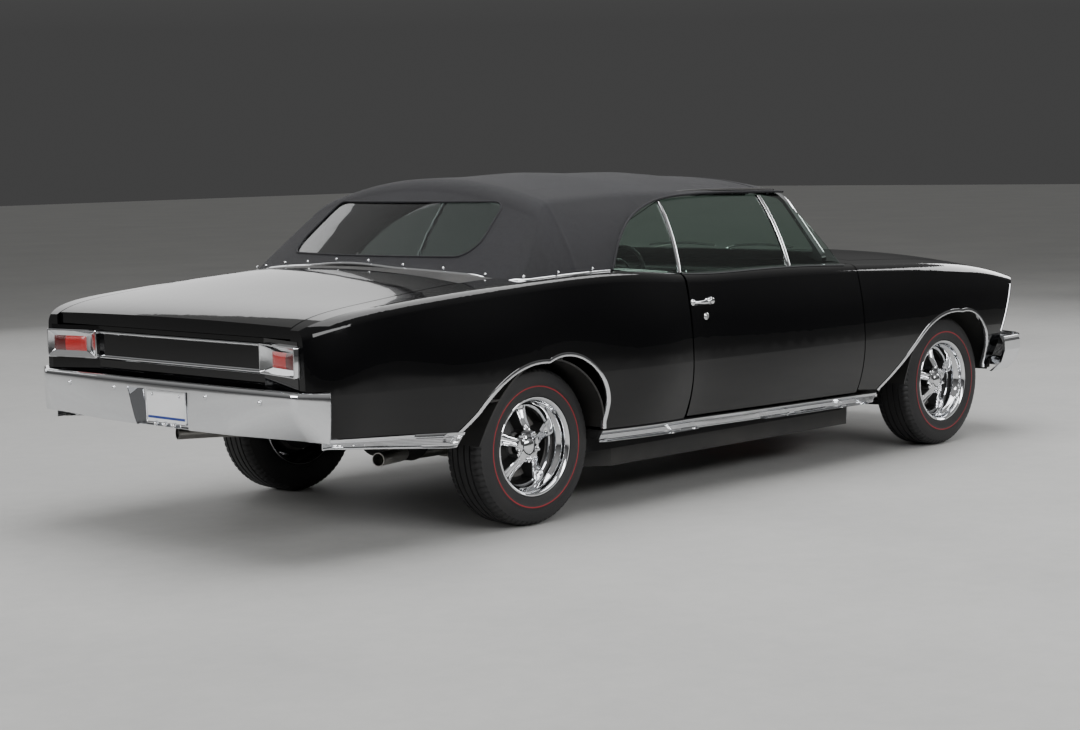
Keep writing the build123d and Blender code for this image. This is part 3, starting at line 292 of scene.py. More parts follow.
PLAIN = [
    # name, base, dust, roughness, grain per metre, depth
    ("chassis_black", (0.012, 0.012, 0.012), (0.06, 0.055, 0.05), 0.45, 350.0, 0.0006),
    ("dash_plastic", (0.012, 0.012, 0.013), (0.025, 0.025, 0.025), 0.42, 900.0, 0.0003),
    ("floor_carpet", (0.010, 0.010, 0.011), (0.03, 0.03, 0.03), 0.95, 700.0, 0.0025),
    ("engine_paint", (0.50, 0.07, 0.03), (0.25, 0.05, 0.03), 0.3, 120.0, 0.0006),
    ("rubber_seal", (0.010, 0.010, 0.010), (0.03, 0.03, 0.03), 0.6, 500.0, 0.0003),
    # near black of its own on dial faces, the instrument panel and valve stems, and painted shade on
    # the floors of the wheels' spoke gaps
    ("near_black_and_painted_shade", (0.006, 0.006, 0.006), (0.02, 0.02, 0.02), 0.5, 300.0, 0.0003),
    ("tyre_rubber", (0.013, 0.013, 0.014), (0.040, 0.038, 0.036), 0.55, 500.0, 0.0004),
    ("red_line", (0.30, 0.012, 0.02), (0.16, 0.02, 0.02), 0.5, 400.0, 0.0002),
    ("plate_white", (0.92, 0.93, 0.94), (0.84, 0.84, 0.83), 0.3, 90.0, 0.0001),
    ("plate_blue", (0.02, 0.05, 0.28), (0.04, 0.07, 0.25), 0.3, 90.0, 0.0001),
    ("orange_lens", (0.55, 0.16, 0.01), (0.40, 0.12, 0.01), 0.1, 200.0, 0.0002),
    ("reflector", (0.75, 0.76, 0.78), (0.6, 0.6, 0.6), 0.12, 200.0, 0.0002),
    ("headliner", (0.020, 0.020, 0.021), (0.03, 0.03, 0.03), 0.9, 900.0, 0.0004),
]
for row in PLAIN:
    make_plain(*row)

# %% [markdown]
# Black vinyl on the seats has a leather grain: small rounded cells, which a Voronoi texture gives,
# with the dark lines between them pressed in. The cells are 2 mm across.

# %% Vinyl and cloth
def make_vinyl():
    """Bump = distance to the nearest cell centre, 480 cells per metre, 0.25 mm deep."""
    vinyl = Finish("seat_vinyl", Sheen_Weight=0.1)
    spot, _ = vinyl.place()
    cells = vinyl.node("ShaderNodeTexVoronoi", inputs={"Vector": spot, "Scale": 480.0})
    wear = vinyl.noise(9.0, 5.0, 0.6)
    vinyl.feed("Base Color", vinyl.mix(wear.between(0.45, 0.75) * 0.5, colour(0.010),
                                       colour(0.024, 0.023, 0.023)))
    vinyl.feed("Roughness", 0.36 + wear * 0.2 + cells * 0.1)
    vinyl.bump(1.0 - cells, 0.00025)


def make_cloth():
    """Weave = sin(a u) sin(a v) on the sheet's own UV in metres, with slubs and slow fading."""
    cloth = Finish("top_cloth", Sheen_Weight=0.04, Sheen_Roughness=0.5, Specular_IOR_Level=0.25)
    sheet_uv = cloth.node("ShaderNodeUVMap", {"uv_map": "cut"})
    split = cloth.node("ShaderNodeSeparateXYZ", inputs={0: sheet_uv})
    across, down = (Wire(cloth, split.socket.node.outputs[i]) for i in (0, 1))
    threads = 2 * np.pi / 0.0016
    weave = (across * threads).math("SINE") * (down * threads).math("SINE")
    slub = cloth.noise(900.0, 2.0, 0.7, sheet_uv)
    fade = cloth.noise(3.0, 5.0, 0.6, sheet_uv)
    cloth.feed("Base Color", cloth.mix(fade.between(0.35, 0.75) * 0.6 + slub * 0.25,
                                       colour(0.010, 0.010, 0.012), colour(0.022, 0.022, 0.026)))
    cloth.feed("Roughness", 0.62 + fade * 0.2)
    cloth.bump(weave * 0.4 + slub + cloth.noise(22.0, 3.0, 0.5, sheet_uv) * 4.0, 0.0005)


make_vinyl()
make_cloth()

# %% [markdown]
# Safety glass of the time has a slight green cast. It is made as real glass: light goes through
# and bends a little, and only the surface reflects. The rear window is a clear plastic sheet, a bit
# hazy and never quite flat. Lenses are coloured plastic with fine flutes inside.

# %% Glass and lenses
def make_clear(name, tint, rough, wave, haze=0.0):
    """Transmission with a tint; bump is slow noise, which bends what is seen through it."""
    clear = Finish(name, Base_Color=colour(*tint), Transmission_Weight=1.0, IOR=1.45)
    smear = clear.noise(4.0, 4.0, 0.6).between(0.4, 0.8)
    clear.feed("Roughness", rough + smear * haze)
    clear.bump(clear.noise(7.0, 1.0), wave)


make_clear("clear_glass", (0.62, 0.74, 0.68), 0.0, 0.0001)
make_clear("window_plastic", (0.60, 0.62, 0.64), 0.02, 0.0018, 0.05)
make_clear("lamp_clear", (0.93, 0.95, 0.96), 0.02, 0.0002)


def make_lens(name, deep, bright, glow):
    """Flutes = sine bands 9 mm apart across the car and up it; the colour pools between them."""
    lens = Finish(name, Coat_Weight=1.0, Emission_Strength=glow)
    _, (_, across, up) = lens.place()
    per_metre = 700.0           # radians, 2 pi over 9 mm
    flutes = (across * per_metre).math("SINE") * (up * per_metre).math("SINE")
    pooled = (flutes * 0.5 + 0.5) ** 2.0
    shade = lens.mix(pooled, colour(*deep), colour(*bright))
    lens.feed("Base Color", shade)
    lens.feed("Emission Color", shade)
    lens.feed("Roughness", 0.08 + pooled * 0.12)
    lens.bump(flutes, 0.0004)


make_lens("lamp_red", (0.20, 0.003, 0.003), (0.62, 0.012, 0.010), 0.25)
make_lens("lamp_dark_red", (0.05, 0.002, 0.002), (0.16, 0.006, 0.005), 0.05)

# %% [markdown]
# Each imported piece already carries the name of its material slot. The finish of the same name takes
# its place, but for three slots whose finish has another name and one piece that has its own.

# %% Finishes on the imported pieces
SLOT_FINISH = {"paint": "gloss_black_paint", "top_cloth": "headliner", "exhaust_steel": "satin_steel"}
SLOTS = {part["node"]: part["material_slot"] for part in frame["record"]["subparts"]}
OWN_FINISH = {"rear_window": "window_plastic"}
for node_name, node in NODES.items():
    wanted = SLOTS[node_name]
    chosen = OWN_FINISH.get(node_name, SLOT_FINISH.get(wanted, wanted))
    for material_slot in node.material_slots:
        material_slot.material = FINISHES[chosen]
print("finished", len(NODES), "packed pieces in", len(FINISHES), "finishes")

# %% [markdown]
# Everything added from here on is a surface worked out with numpy and gathered in a Shape: grids of
# points that are a function of two parameters, or a profile carried along a path. A Shape welds its
# grids, turns closed skins outwards, keeps edges sharp by angle and rides on one of the bodies.

# %% Mesh helpers
def unit(vectors):
    """Each vector over its own length."""
    return vectors / np.maximum(np.linalg.norm(vectors, axis=-1, keepdims=True), 1e-12)


WELD = 0.00002          # points nearer than this become one


class Shape:
    """One piece under construction, from grids of points that share its finishes."""

    def __init__(self, name, *finishes):
        self.name, self.finishes = name, finishes
        self.points, self.faces, self.slots = [], [], []
        self.total = 0

    def add(self, points, faces, finish):
        """Points as (n, 3) and faces as lists of their own indices."""
        self.points.append(points.reshape(-1, 3))
        self.faces.extend([[corner + self.total for corner in face] for face in faces])
        self.slots.extend(finish if np.ndim(finish) else [finish] * len(faces))
        self.total += len(self.points[-1])

    def grid(self, points, finish=0, ring_u=False, ring_v=False, cap_u=False, cap_v=False):
        """Quads between neighbours of points[u, v]; a ring joins the last row to the first."""
        rows, columns = points.shape[:2]
        index = np.arange(rows * columns).reshape(rows, columns)
        full = np.concatenate([index, index[:1]]) if ring_u else index
        full = np.concatenate([full, full[:, :1]], axis=1) if ring_v else full
        quads = np.stack([full[:-1, :-1], full[1:, :-1], full[1:, 1:], full[:-1, 1:]], -1)
        kinds = np.broadcast_to(finish, quads.shape[:2]).ravel().tolist()
        faces = quads.reshape(-1, 4).tolist()
        if cap_u:
            faces += [index[0].tolist(), index[-1][::-1].tolist()]
        if cap_v:
            faces += [index[:, 0][::-1].tolist(), index[:, -1].tolist()]
        kinds += [kinds[0]] * (len(faces) - len(kinds))
        self.add(points, faces, kinds)

    def bar(self, path, profile, upright, finish=0, ring=False):
        """A closed profile carried along a path, with its ends shut unless the path is a ring."""
        self.grid(sweep(path, profile, upright, ring), finish, ring_u=ring, ring_v=True,
                  cap_u=not ring)

    def make(self, body, replaces=(), angle=38.0, outward=True):
        """The finished object, riding on a body."""
        mesh = bpy.data.meshes.new(self.name)
        mesh.from_pydata(np.concatenate(self.points).tolist(), [], self.faces)
        mesh.polygons.foreach_set("material_index", np.array(self.slots, np.int32))
        work = bmesh.new()
        work.from_mesh(mesh)
        bmesh.ops.remove_doubles(work, verts=work.verts, dist=WELD)
        if outward:
            bmesh.ops.recalc_face_normals(work, faces=work.faces)
        work.to_mesh(mesh)
        work.free()
        mesh.shade_smooth()
        mesh.set_sharp_from_angle(angle=np.radians(angle))
        for finish in self.finishes:
            mesh.materials.append(FINISHES[finish])
        piece = placed(self.name, mesh)
        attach(piece, body)
        if replaces:
            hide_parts(*replaces)
        return piece


def sweep(path, profile, upright, ring=False):
    """Point = path + a * side + b * up, for profile rows (a, b); upright is one vector or many."""
    profile = np.asarray(profile, float)
    if ring:
        ahead = unit(np.roll(path, -1, axis=0) - np.roll(path, 1, axis=0))
    else:
        ahead = unit(np.gradient(path, axis=0))
    side = unit(np.cross(ahead, upright))
    up = np.cross(side, ahead)
    return path[:, None] + profile[None, :, :1] * side[:, None] + profile[None, :, 1:] * up[:, None]


def circle(radius, steps=12, flat=1.0):
    """A round profile, or an oval one with flat below 1."""
    angle = np.arange(steps) * 2 * np.pi / steps
    return np.column_stack([radius * np.cos(angle), flat * radius * np.sin(angle)])


def softened(points, rounds=2, ring=True):
    """Each round cuts every corner off a quarter of the way along its two sides."""
    points = np.asarray(points, float)
    for _ in range(rounds):
        after = np.roll(points, -1, axis=0) if ring else points[1:]
        before = points if ring else points[:-1]
        cut = np.stack([0.75 * before + 0.25 * after, 0.25 * before + 0.75 * after], 1)
        cut = cut.reshape(-1, points.shape[1])
        points = cut if ring else np.concatenate([points[:1], cut[1:-1], points[-1:]])
    return points


def strap(half, low, high, rounds=1):
    """A flat bar's section from millimetres: half its width, and the heights of its two faces."""
    corners = np.array([(-half, low), (half, low), (half, high), (-half, high)]) / 1000
    return softened(corners, rounds)


def along(points, count):
    """A path of equal steps through the points, by straight runs."""
    points = np.asarray(points, float)
    reach = np.concatenate([[0], np.cumsum(np.linalg.norm(np.diff(points, axis=0), axis=1))])
    steps = np.linspace(0, reach[-1], count)
    return np.column_stack([np.interp(steps, reach, column) for column in points.T])


def bend(points, count):
    """A path of equal steps through a few points, its corners rounded and its ends kept."""
    return along(softened(points, 2, ring=False), count)


def arc_through(first, middle, last, count):
    """Points on the circle through three plane points."""
    a, b, c = (np.asarray(p, float) for p in (first, middle, last))
    lhs = 2 * np.array([b - a, c - a])
    centre = np.linalg.solve(lhs, [b @ b - a @ a, c @ c - a @ a])
    angles = np.unwrap([np.arctan2(*(p - centre)[::-1]) for p in (a, b, c)])
    turn = np.linspace(angles[0], angles[2], count)
    return centre + np.linalg.norm(a - centre) * np.column_stack([np.cos(turn), np.sin(turn)])


def lathe(profile, centre, side=1, steps=96):
    """Profile rows (radius, out) turned about an axle across the car; out grows towards side.

    The turn runs the other way round on the right, so that the faces point outwards on both.
    """
    angle = np.arange(steps) * 2 * np.pi / steps
    radius, out = profile[None, :, 0], profile[None, :, 1]
    x = centre[0] + radius * np.cos(angle)[:, None]
    z = centre[2] + side * radius * np.sin(angle)[:, None]
    return np.stack([x, np.broadcast_to(centre[1] + side * out, x.shape), z], -1)


# Rays that lay trim on the car start before its nose, beside its doors or over its belt.
AHEAD, BESIDE, OVER = 3.0, 1.2, 1.3


def skin_of(*names):
    """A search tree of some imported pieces, for laying trim on them."""
    work = bmesh.new()
    for name in names:
        work.from_mesh(NODES[name].data)
    tree = BVHTree.FromBMesh(work)
    work.free()
    return tree


def lay(tree, x, y, z, direction):
    """Where rays from (x, y, z) first meet the tree; misses take the depth of the nearest hit."""
    starts = np.stack(np.broadcast_arrays(*np.atleast_1d(x, y, z)), -1).astype(float)
    laid = starts.reshape(-1, 3)
    places = [tree.ray_cast(Vector(start), Vector(direction))[0] for start in laid]
    hits = np.array([place if place else (np.nan,) * 3 for place in places])
    met = np.flatnonzero(~np.isnan(hits[:, 0]))
    nearest = met[np.abs(np.arange(len(hits))[:, None] - met[None]).argmin(1)]
    depth = int(np.argmax(np.abs(direction)))
    laid[:, depth] = hits[nearest, depth]
    return laid.reshape(starts.shape)


print("helpers ready")

# %% [markdown]
# The bright sill moulding is an aluminium extrusion with fine ribs along it and a raised bead top
# and bottom. Rays laid on the sill give its back, and the ribs are added to that: the height over
# the panel is a fixed profile of the position between the lower and the upper edge.

# %% Sill and quarter mouldings
RIBBED = np.array([
    # share of the height, height over the panel in mm
    (0.00, 0.0), (0.00, 5.0), (0.04, 7.0), (0.12, 7.0), (0.16, 4.5), (0.22, 4.2), (0.26, 5.6),
    (0.31, 4.2), (0.36, 5.6), (0.41, 4.2), (0.46, 5.6), (0.51, 4.2), (0.56, 5.6), (0.61, 4.2),
    (0.66, 5.6), (0.70, 4.2), (0.76, 4.5), (0.80, 7.5), (0.96, 7.5), (1.00, 5.0), (1.00, 0.0),
])


def ribbed_band(shape, tree, side, x_low, x_high, low, high, slant=0.0, steps=70):
    """low and high give the edge heights at x; slant moves the top edge's ends along x."""
    xs = np.linspace(x_low, x_high, steps)
    share, height = RIBBED[:, 0], RIBBED[:, 1] / 1000
    x = xs[:, None] + slant * (share[None] - 0.5) * np.linspace(0, 1, steps)[:, None]
    z = low(xs)[:, None] * (1 - share) + high(xs)[:, None] * share
    laid = lay(tree, x, side * BESIDE, z, (0, -side, 0))
    laid[..., 1] += side * (height[None] - 0.0015)
    shape.grid(laid, cap_u=True)


def sill_top(x):
    """Height of the sill moulding's top edge, which falls a little towards the front."""
    return 0.352 - 0.01289 * (x + 0.93)


def make_lower_mouldings():
    """Sill: 48 mm high under its top edge. Quarter: straight edges between two heights."""
    sill_skin = skin_of("sill_mouldings")
    shape = Shape("ribbed_sill_mouldings", "chrome")
    for side in SIDES.values():
        ribbed_band(shape, sill_skin, side, -0.922, 1.002,
                    lambda x: sill_top(x) - 0.049, lambda x: sill_top(x) - 0.001)
    shape.make("root", ["sill_mouldings"])
    shape = Shape("ribbed_quarter_mouldings", "chrome")
    for hand, side in SIDES.items():
        ribbed_band(shape, skin_of(f"quarter_{hand}"), side, -2.402, -1.745,
                    lambda x: np.interp(x, [-2.375, -1.783], [0.440, 0.382]),
                    lambda x: np.interp(x, [-2.374, -1.730], [0.476, 0.436]), slant=0.05)
    shape.make("root")


make_lower_mouldings()

# %% [markdown]
# Round each wheel opening runs a thin stainless lip, folded round the edge of the panel. Its line is
# the panel's own cut: two arcs over the wheel and straight legs. The lip stands 3 mm proud, 17 mm
# wide, and turns inwards at the edge.

# %% Wheel opening lips
ARCHES = {
    "front": [(1.985, 0.360), (1.985, 0.480), (1.912, 0.608), (1.730, 0.662), (1.510, 0.648),
              (1.340, 0.566), (1.018, 0.328)],
    "rear": [(-0.928, 0.362), (-0.928, 0.470), (-1.010, 0.622), (-1.270, 0.664), (-1.500, 0.628),
             (-1.664, 0.500), (-1.793, 0.381)],
}
LIP = np.array([(0.0, -14.0), (-0.6, 0.5), (0.4, 2.6), (3.0, 3.6), (8.0, 3.2), (13.0, 3.4),
                (16.0, 2.8), (17.0, -1.0)]) / 1000


def arch_line(corners):
    """The opening's edge seen from the side, in even steps."""
    first = arc_through(corners[1], corners[2], corners[3], 24)
    second = arc_through(corners[3], corners[4], corners[5], 24)
    line = np.concatenate([[corners[0]], first, second[1:], [corners[6]]])
    return along(line, 120)


def make_arch_lips():
    """Point = edge + w * outward in the side view, y = skin + h, for (w, h) down the lip."""
    for axle, corners in ARCHES.items():
        shape = Shape(f"{axle}_wheel_lips", "chrome")
        edge = arch_line(corners)
        run = unit(np.gradient(edge, axis=0))
        outward = np.column_stack([-run[:, 1], run[:, 0]])
        middle = np.array(corners[3]) - [0, 0.34]
        outward *= np.sign(((edge - middle) * outward).sum(1))[:, None]
        spot = edge[:, None] + np.maximum(LIP[:, 0], 0.0015)[None, :, None] * outward[:, None]
        for hand, side in SIDES.items():
            tree = skin_of(f"{'front_fender' if axle == 'front' else 'quarter'}_{hand}")
            laid = lay(tree, spot[..., 0], side * BESIDE, spot[..., 1], (0, -side, 0))
            laid[..., [0, 2]] = edge[:, None] + LIP[None, :, :1] * outward[:, None]
            laid[..., 1] += side * LIP[None, :, 1]
            shape.grid(laid if side > 0 else laid[::-1])
        shape.make("root", outward=False)


make_arch_lips()

# %% [markdown]
# The wheels are chromed steel rims with a cast five-spoke centre: each spoke is a wide tongue with a
# shallow channel down its middle, the gaps between the spokes sink to a floor in near-black painted
# shade, and five nuts sit in the gaps round a plain domed cap. The centre is one grid in polar form.
# Its columns run along the spokes' edges, so that the edges stay crisp however coarse the grid is.

# %% Wheels
AXLES = {"front": 1.649, "rear": -1.272}
HALF_TRACK = 0.737
AXLE_Z = 0.322
SPOKES = 5
FACE_RADIUS = [0.000, 0.030, 0.038, 0.046, 0.060, 0.072, 0.084, 0.110, 0.140, 0.166, 0.174]
FACE_OUT = [0.060, 0.060, 0.058, 0.055, 0.053, 0.050, 0.044, 0.029, 0.018, 0.012, 0.010]
RIM = np.array([
    # radius, out
    (202, 97), (203, 90), (197, 86), (191, 84), (190, 74), (190, 63), (182, 57), (175, 48),
    (173, 30), (173, 6), (172, -40), (191, -56), (191, -85), (202, -91), (202, -97), (196, -97),
    (185, -86), (185, -60), (166, -44), (166, 20), (167, 50), (184, 66), (185, 86), (195, 97),
]) / 1000


def spoked_face(centre, side):
    """Point(r, column): angle = spoke + asin(w / r) s on a spoke, then evenly across the gap.
    out = face(r) + 4 mm - 11 mm in the channel, and the gap lies 50 mm deeper; the gap's floor
    is marked for the near-black finish, as painted shade."""
    radius = np.concatenate([[0.036], np.linspace(0.042, 0.064, 7), [0.066],
                             np.linspace(0.070, 0.154, 26), [0.158, 0.161, 0.167, 0.172]])
    half = np.interp(radius, [0.036, 0.066, 0.110, 0.158, 0.172], [0.020, 0.018, 0.021, 0.030, 0.036])
    across = np.linspace(-1, 1, 17)
    gap = np.array([0.0, 0.03, 0.12, 0.3, 0.5, 0.7, 0.88, 0.97])
    on_spoke = np.arcsin(np.clip(half / radius, 0, 0.95))[:, None] * across[None]
    edge = on_spoke[:, -1:]
    sector = 2 * np.pi / SPOKES
    in_gap = edge + (sector - 2 * edge) * gap[None]
    inside = np.interp(radius, [0.066, 0.070, 0.154, 0.160], [0, 1, 1, 0])
    sunk = np.interp(gap, [0, 0.03, 0.12, 0.88, 0.97], [0, 0.55, 1, 1, 0.55])
    face = np.interp(radius, FACE_RADIUS, FACE_OUT)
    long_way = np.interp(radius, [0.060, 0.085, 0.150, 0.168], [0, 1, 1, 0])
    rounded = 1 - np.clip(np.abs(across) - 0.78, 0, 1) ** 2 / 0.0484
    channel = np.clip(1 - (across / 0.62) ** 2, 0, 1) ** 0.8
    ridge = 0.004 * rounded[None] - 0.011 * long_way[:, None] * channel[None]
    out_spoke = face[:, None] + ridge
    out_gap = face[:, None] - 0.050 * inside[:, None] * sunk[None]
    angles = np.concatenate([on_spoke, in_gap[:, 1:]], axis=1)
    out = np.concatenate([out_spoke, out_gap[:, 1:]], axis=1)
    deep = np.concatenate([np.zeros(16), np.ones(8)])
    turn = np.pi / 2 + sector * np.arange(SPOKES)
    full = (angles[:, None] + turn[None, :, None]).reshape(len(radius), -1)
    out = np.tile(out, (1, SPOKES))
    x = centre[0] + radius[:, None] * np.cos(full)
    z = centre[2] + radius[:, None] * np.sin(full)
    # the floors of the spoke gaps take the near-black finish, as painted shade
    gap_painted_shade = (np.tile(deep, SPOKES) > 0)[None] & ((radius > 0.068) & (radius < 0.157))[:-1, None]
    return np.stack([x, centre[1] + side * out, z], -1), gap_painted_shade.astype(int)


def hub(axle, hand):
    """Side, centre and name of one wheel."""
    side = SIDES[hand]
    return side, (AXLES[axle], side * HALF_TRACK, AXLE_Z), f"{axle}_{hand}"


def make_wheel(axle, hand):
    """Rim, spoked face, cap, nuts, drum and valve of one wheel."""
    side, centre, name = hub(axle, hand)
    shape = Shape(f"chrome_wheel_{name}", "chrome", "near_black_and_painted_shade", "cast_metal")
    shape.grid(lathe(softened(RIM, 1), centre, side), ring_u=True, ring_v=True)
    face, gap_painted_shade = spoked_face(centre, side)
    # finish 1 on the gap floors is painted shade
    shape.grid(face[:, ::-side], gap_painted_shade[:, ::-side], ring_v=True)
    cap = np.array([(0.0001, 0.071), (0.012, 0.0705), (0.024, 0.068), (0.031, 0.063), (0.034, 0.056),
                    (0.036, 0.054), (0.041, 0.053)])
    shape.grid(lathe(cap, centre, side, 40), ring_u=True)
    nut = np.array([(0.0001, 0.066), (0.006, 0.065), (0.0095, 0.061), (0.0105, 0.050)])
    for turn in np.pi / 2 + 2 * np.pi / SPOKES * (np.arange(SPOKES) + 0.5):
        spot = (centre[0] + 0.057 * np.cos(turn), centre[1], centre[2] + 0.057 * np.sin(turn))
        shape.grid(lathe(nut, spot, side, 12), ring_u=True)
    drum = np.array([(0.038, -0.020), (0.132, -0.020), (0.136, -0.026), (0.138, -0.070),
                     (0.060, -0.074)])
    shape.grid(lathe(drum, centre, side, 48), 2, ring_u=True, ring_v=True)
    stem = [(0.182, 0.030), (0.176, 0.052)]
    path = np.array(centre) + np.array([(far * 0.6, side * out, -far * 0.8) for far, out in stem])
    shape.bar(path, circle(0.004, 8), (1, 0, 0), 1)
    shape.make(f"wheel_{name}", [f"wheel_{name}"], angle=28.0, outward=False)


for axle_name in AXLES:
    for wheel_hand in SIDES:
        make_wheel(axle_name, wheel_hand)

# %% [markdown]
# The tyres are tall by later standards, with a narrow red line moulded into the outer wall. The
# tread has four grooves round it and short cross cuts in its shoulders. The section is turned about
# the axle, and the cuts come from lowering every fourth step of the turn by 5 mm.

# %% Tyres
TYRE = np.array([
    # radius, out
    (193, 80), (197, 86), (203.5, 92), (206, 98), (216, 101.5), (230, 104.2), (241.5, 105.4),
    (242.5, 106.2), (247.5, 106.2), (248.5, 105.4), (262, 105), (276, 103.2), (290, 99.4), (302, 94),
    (304, 93.4), (306, 91), (313, 85), (318, 78), (320.4, 70), (321, 60), (321.3, 53), (315, 52),
    (315, 46), (321.6, 45), (321.8, 22), (315, 21), (315, 15), (322, 14), (322, 0),
]) / 1000
TYRE_STEPS = 288


def make_tyre(axle, hand):
    """The outer wall has the red line; the inner wall is its mirror without it."""
    side, centre, name = hub(axle, hand)
    inner = np.array([row for row in TYRE[::-1] if not 0.2420 < row[0] < 0.2480]) * [1, -1]
    casing = np.array([(0.193, -0.066), (0.240, -0.090), (0.290, -0.082), (0.304, -0.050),
                       (0.304, 0.050), (0.290, 0.082), (0.240, 0.090), (0.193, 0.066)])
    section = np.concatenate([TYRE, inner[1:], casing])
    turned = lathe(section, centre, side, TYRE_STEPS)
    lowered = (np.arange(TYRE_STEPS) % 4 == 0)[:, None] & (
        (np.abs(section[:, 1]) > 0.056) & (section[:, 0] > 0.3025))[None]
    inward = np.array([centre[0], 0, centre[2]]) - turned
    inward[..., 1] = 0
    turned += unit(inward) * 0.005 * lowered[..., None]
    red = np.zeros(len(section), int)
    red[7] = 1                  # the raised flat from 242.5 to 247.5 mm
    shape = Shape(f"redline_tyre_{name}", "tyre_rubber", "red_line")
    shape.grid(turned, red, ring_u=True, ring_v=True)
    shape.make(f"wheel_{name}", [f"tyre_{name}"], angle=42.0)


for axle_name in AXLES:
    for wheel_hand in SIDES:
        make_tyre(axle_name, wheel_hand)
print("wheels and tyres on")

# %% [markdown]
# Each tail lamp is a chromed box, open to the rear, whose four walls slope in to a red lens at the
# bottom. Seen from the side the far wall shows bright and repeats the red. The panel between the
# lamps has a bright strip level with their tops and another level with their lower edges.

# %% Tail lamps, strips and plate
LAMP_INNER = np.array([-2.4185, 0.531])
LAMP_OUTER = np.array([-2.4735, 0.805])
LAMP_LOW, LAMP_HIGH = 0.702, 0.818


def box_ring(low_u, high_u, low_v, high_v, round_r, steps=5):
    """The points of a rectangle with round corners, as (u, v)."""
    turn = np.linspace(0, np.pi / 2, steps)
    corners = [(high_u, high_v, 0), (low_u, high_v, 1), (low_u, low_v, 2), (high_u, low_v, 3)]
    rows = []
    for u, v, quarter in corners:
        angle = turn + quarter * np.pi / 2
        su, sv = (1 if quarter in (0, 3) else -1), (1 if quarter in (0, 1) else -1)
        rows.append(np.column_stack([u - su * round_r + round_r * np.cos(angle),
                                     v - sv * round_r + round_r * np.sin(angle)]))
    return np.concatenate(rows)


LAMP_STEPS = [
    # inset at the inner end, at the outer end, above and below, depth, corner radius, in mm
    (0, 0, 0, 22, 6), (0, 0, 0, 2, 6), (2, 2, 2, 0, 6), (6, 6, 6, 0, 6), (8, 8, 8, 2, 5),
    (72, 22, 27, 19, 5), (76, 25, 30, 20, 4),
]


def make_tail_lamps():
    """Point = inner corner + u * (along the lamp) - depth * (outward), v is the height."""
    shape = Shape("tail_lamp_housings", "chrome")
    lens = Shape("tail_lamp_lenses", "lamp_red", "lamp_dark_red")
    for side in SIDES.values():
        start = LAMP_INNER * [1, side]
        run = (LAMP_OUTER - LAMP_INNER) * [1, side]
        length = np.linalg.norm(run)
        run = run / length
        out = np.array([-abs(run[1]), -side * abs(run[0])])

        def put(points, depth):
            flat = start + points[:, :1] * run - depth * out
            return np.column_stack([flat, points[:, 1]])

        rings = []
        for near, far, walls, depth, corner in np.array(LAMP_STEPS) / 1000:
            ring = box_ring(near, length - far, LAMP_LOW + walls, LAMP_HIGH - walls, corner)
            rings.append(put(ring, depth))
        shape.grid(np.stack(rings), ring_v=True)
        u = np.linspace(0.072, length - 0.022, 41)
        v = np.linspace(LAMP_LOW + 0.027, LAMP_HIGH - 0.027, 13)
        square = np.stack(np.meshgrid(u, v, indexing="ij"), -1).reshape(-1, 2)
        place = (square[:, 0] - u[0]) / (u[-1] - u[0])
        bulge = 0.0065 * (1 - np.abs(place * 2 - 1) ** 6) * (
            1 - np.abs((square[:, 1] - (LAMP_LOW + LAMP_HIGH) / 2) / 0.031) ** 4)
        darker = np.arange(40) > 24
        lens.grid(put(square, (0.0195 - bulge)[:, None]).reshape(41, 13, 3),
                  darker[:, None].astype(int))
    shape.make("root", ["tail_lamps"])
    lens.make("root")
    strips = Shape("tail_strips", "chrome")
    for low, high in ((0.8035, 0.8165), (0.700, 0.7175)):
        middle, half = (low + high) / 2, (high - low) / 2
        bevel = np.array([(0, -half), (0.006, -half), (0.0085, -0.6 * half), (0.0095, 0),
                          (0.0085, 0.6 * half), (0.006, half), (0, half)])
        path = np.array([(-2.3983, y, middle) for y in np.linspace(-0.534, 0.534, 9)])
        strips.bar(path, bevel * [-1, 1], (0, 0, 1))
    strips.make("root")


def rounded_slab(shape, middle, half_u, half_v, thick, normal, across, finish, corner=0.008):
    """A thin plate with round corners, standing on middle, facing normal."""
    normal, across = (unit(np.array(v, float)) for v in (normal, across))
    upward = np.cross(normal, across)
    rings = []
    for inset, height in ((0, 0), (0, thick - 0.0006), (0.0006, thick)):
        ring = box_ring(-half_u + inset, half_u - inset, -half_v + inset, half_v - inset, corner)
        rings.append(middle + ring[:, :1] * across + ring[:, 1:] * upward + height * normal)
    shape.grid(np.stack(rings), finish, ring_v=True, cap_u=True)


def disc_on(shape, centre, normal, rows, finish=0, steps=40, shut=False):
    """Rings of (radius, height) rows about a centre, standing along the normal."""
    normal = unit(np.array(normal, float))
    across = unit(np.cross(normal, [0.3, 0.5, 0.8]))
    upward = np.cross(normal, across)
    turn = np.arange(steps) * 2 * np.pi / steps
    ring = np.cos(turn)[:, None] * across + np.sin(turn)[:, None] * upward
    rows = np.array(rows, float)
    shape.grid(np.array(centre) + rows[:, :1, None] * ring[None] + rows[:, 1:, None] * normal,
               finish, ring_v=True, cap_u=shut)


def dome(shape, place, normal, radius, height, finish=0, steps=16):
    """A round head that stands on a surface: radius r cos t, height h sin t, and a short foot."""
    rise = np.array([-0.35, 0, 0.35, 0.7, 1.05, 1.35, np.pi / 2 - 0.001])
    rows = np.column_stack([radius * np.where(rise < 0, 1, np.cos(rise)),
                            height * np.where(rise < 0, -1, np.sin(rise))])
    disc_on(shape, place, normal, rows, finish, steps, shut=True)


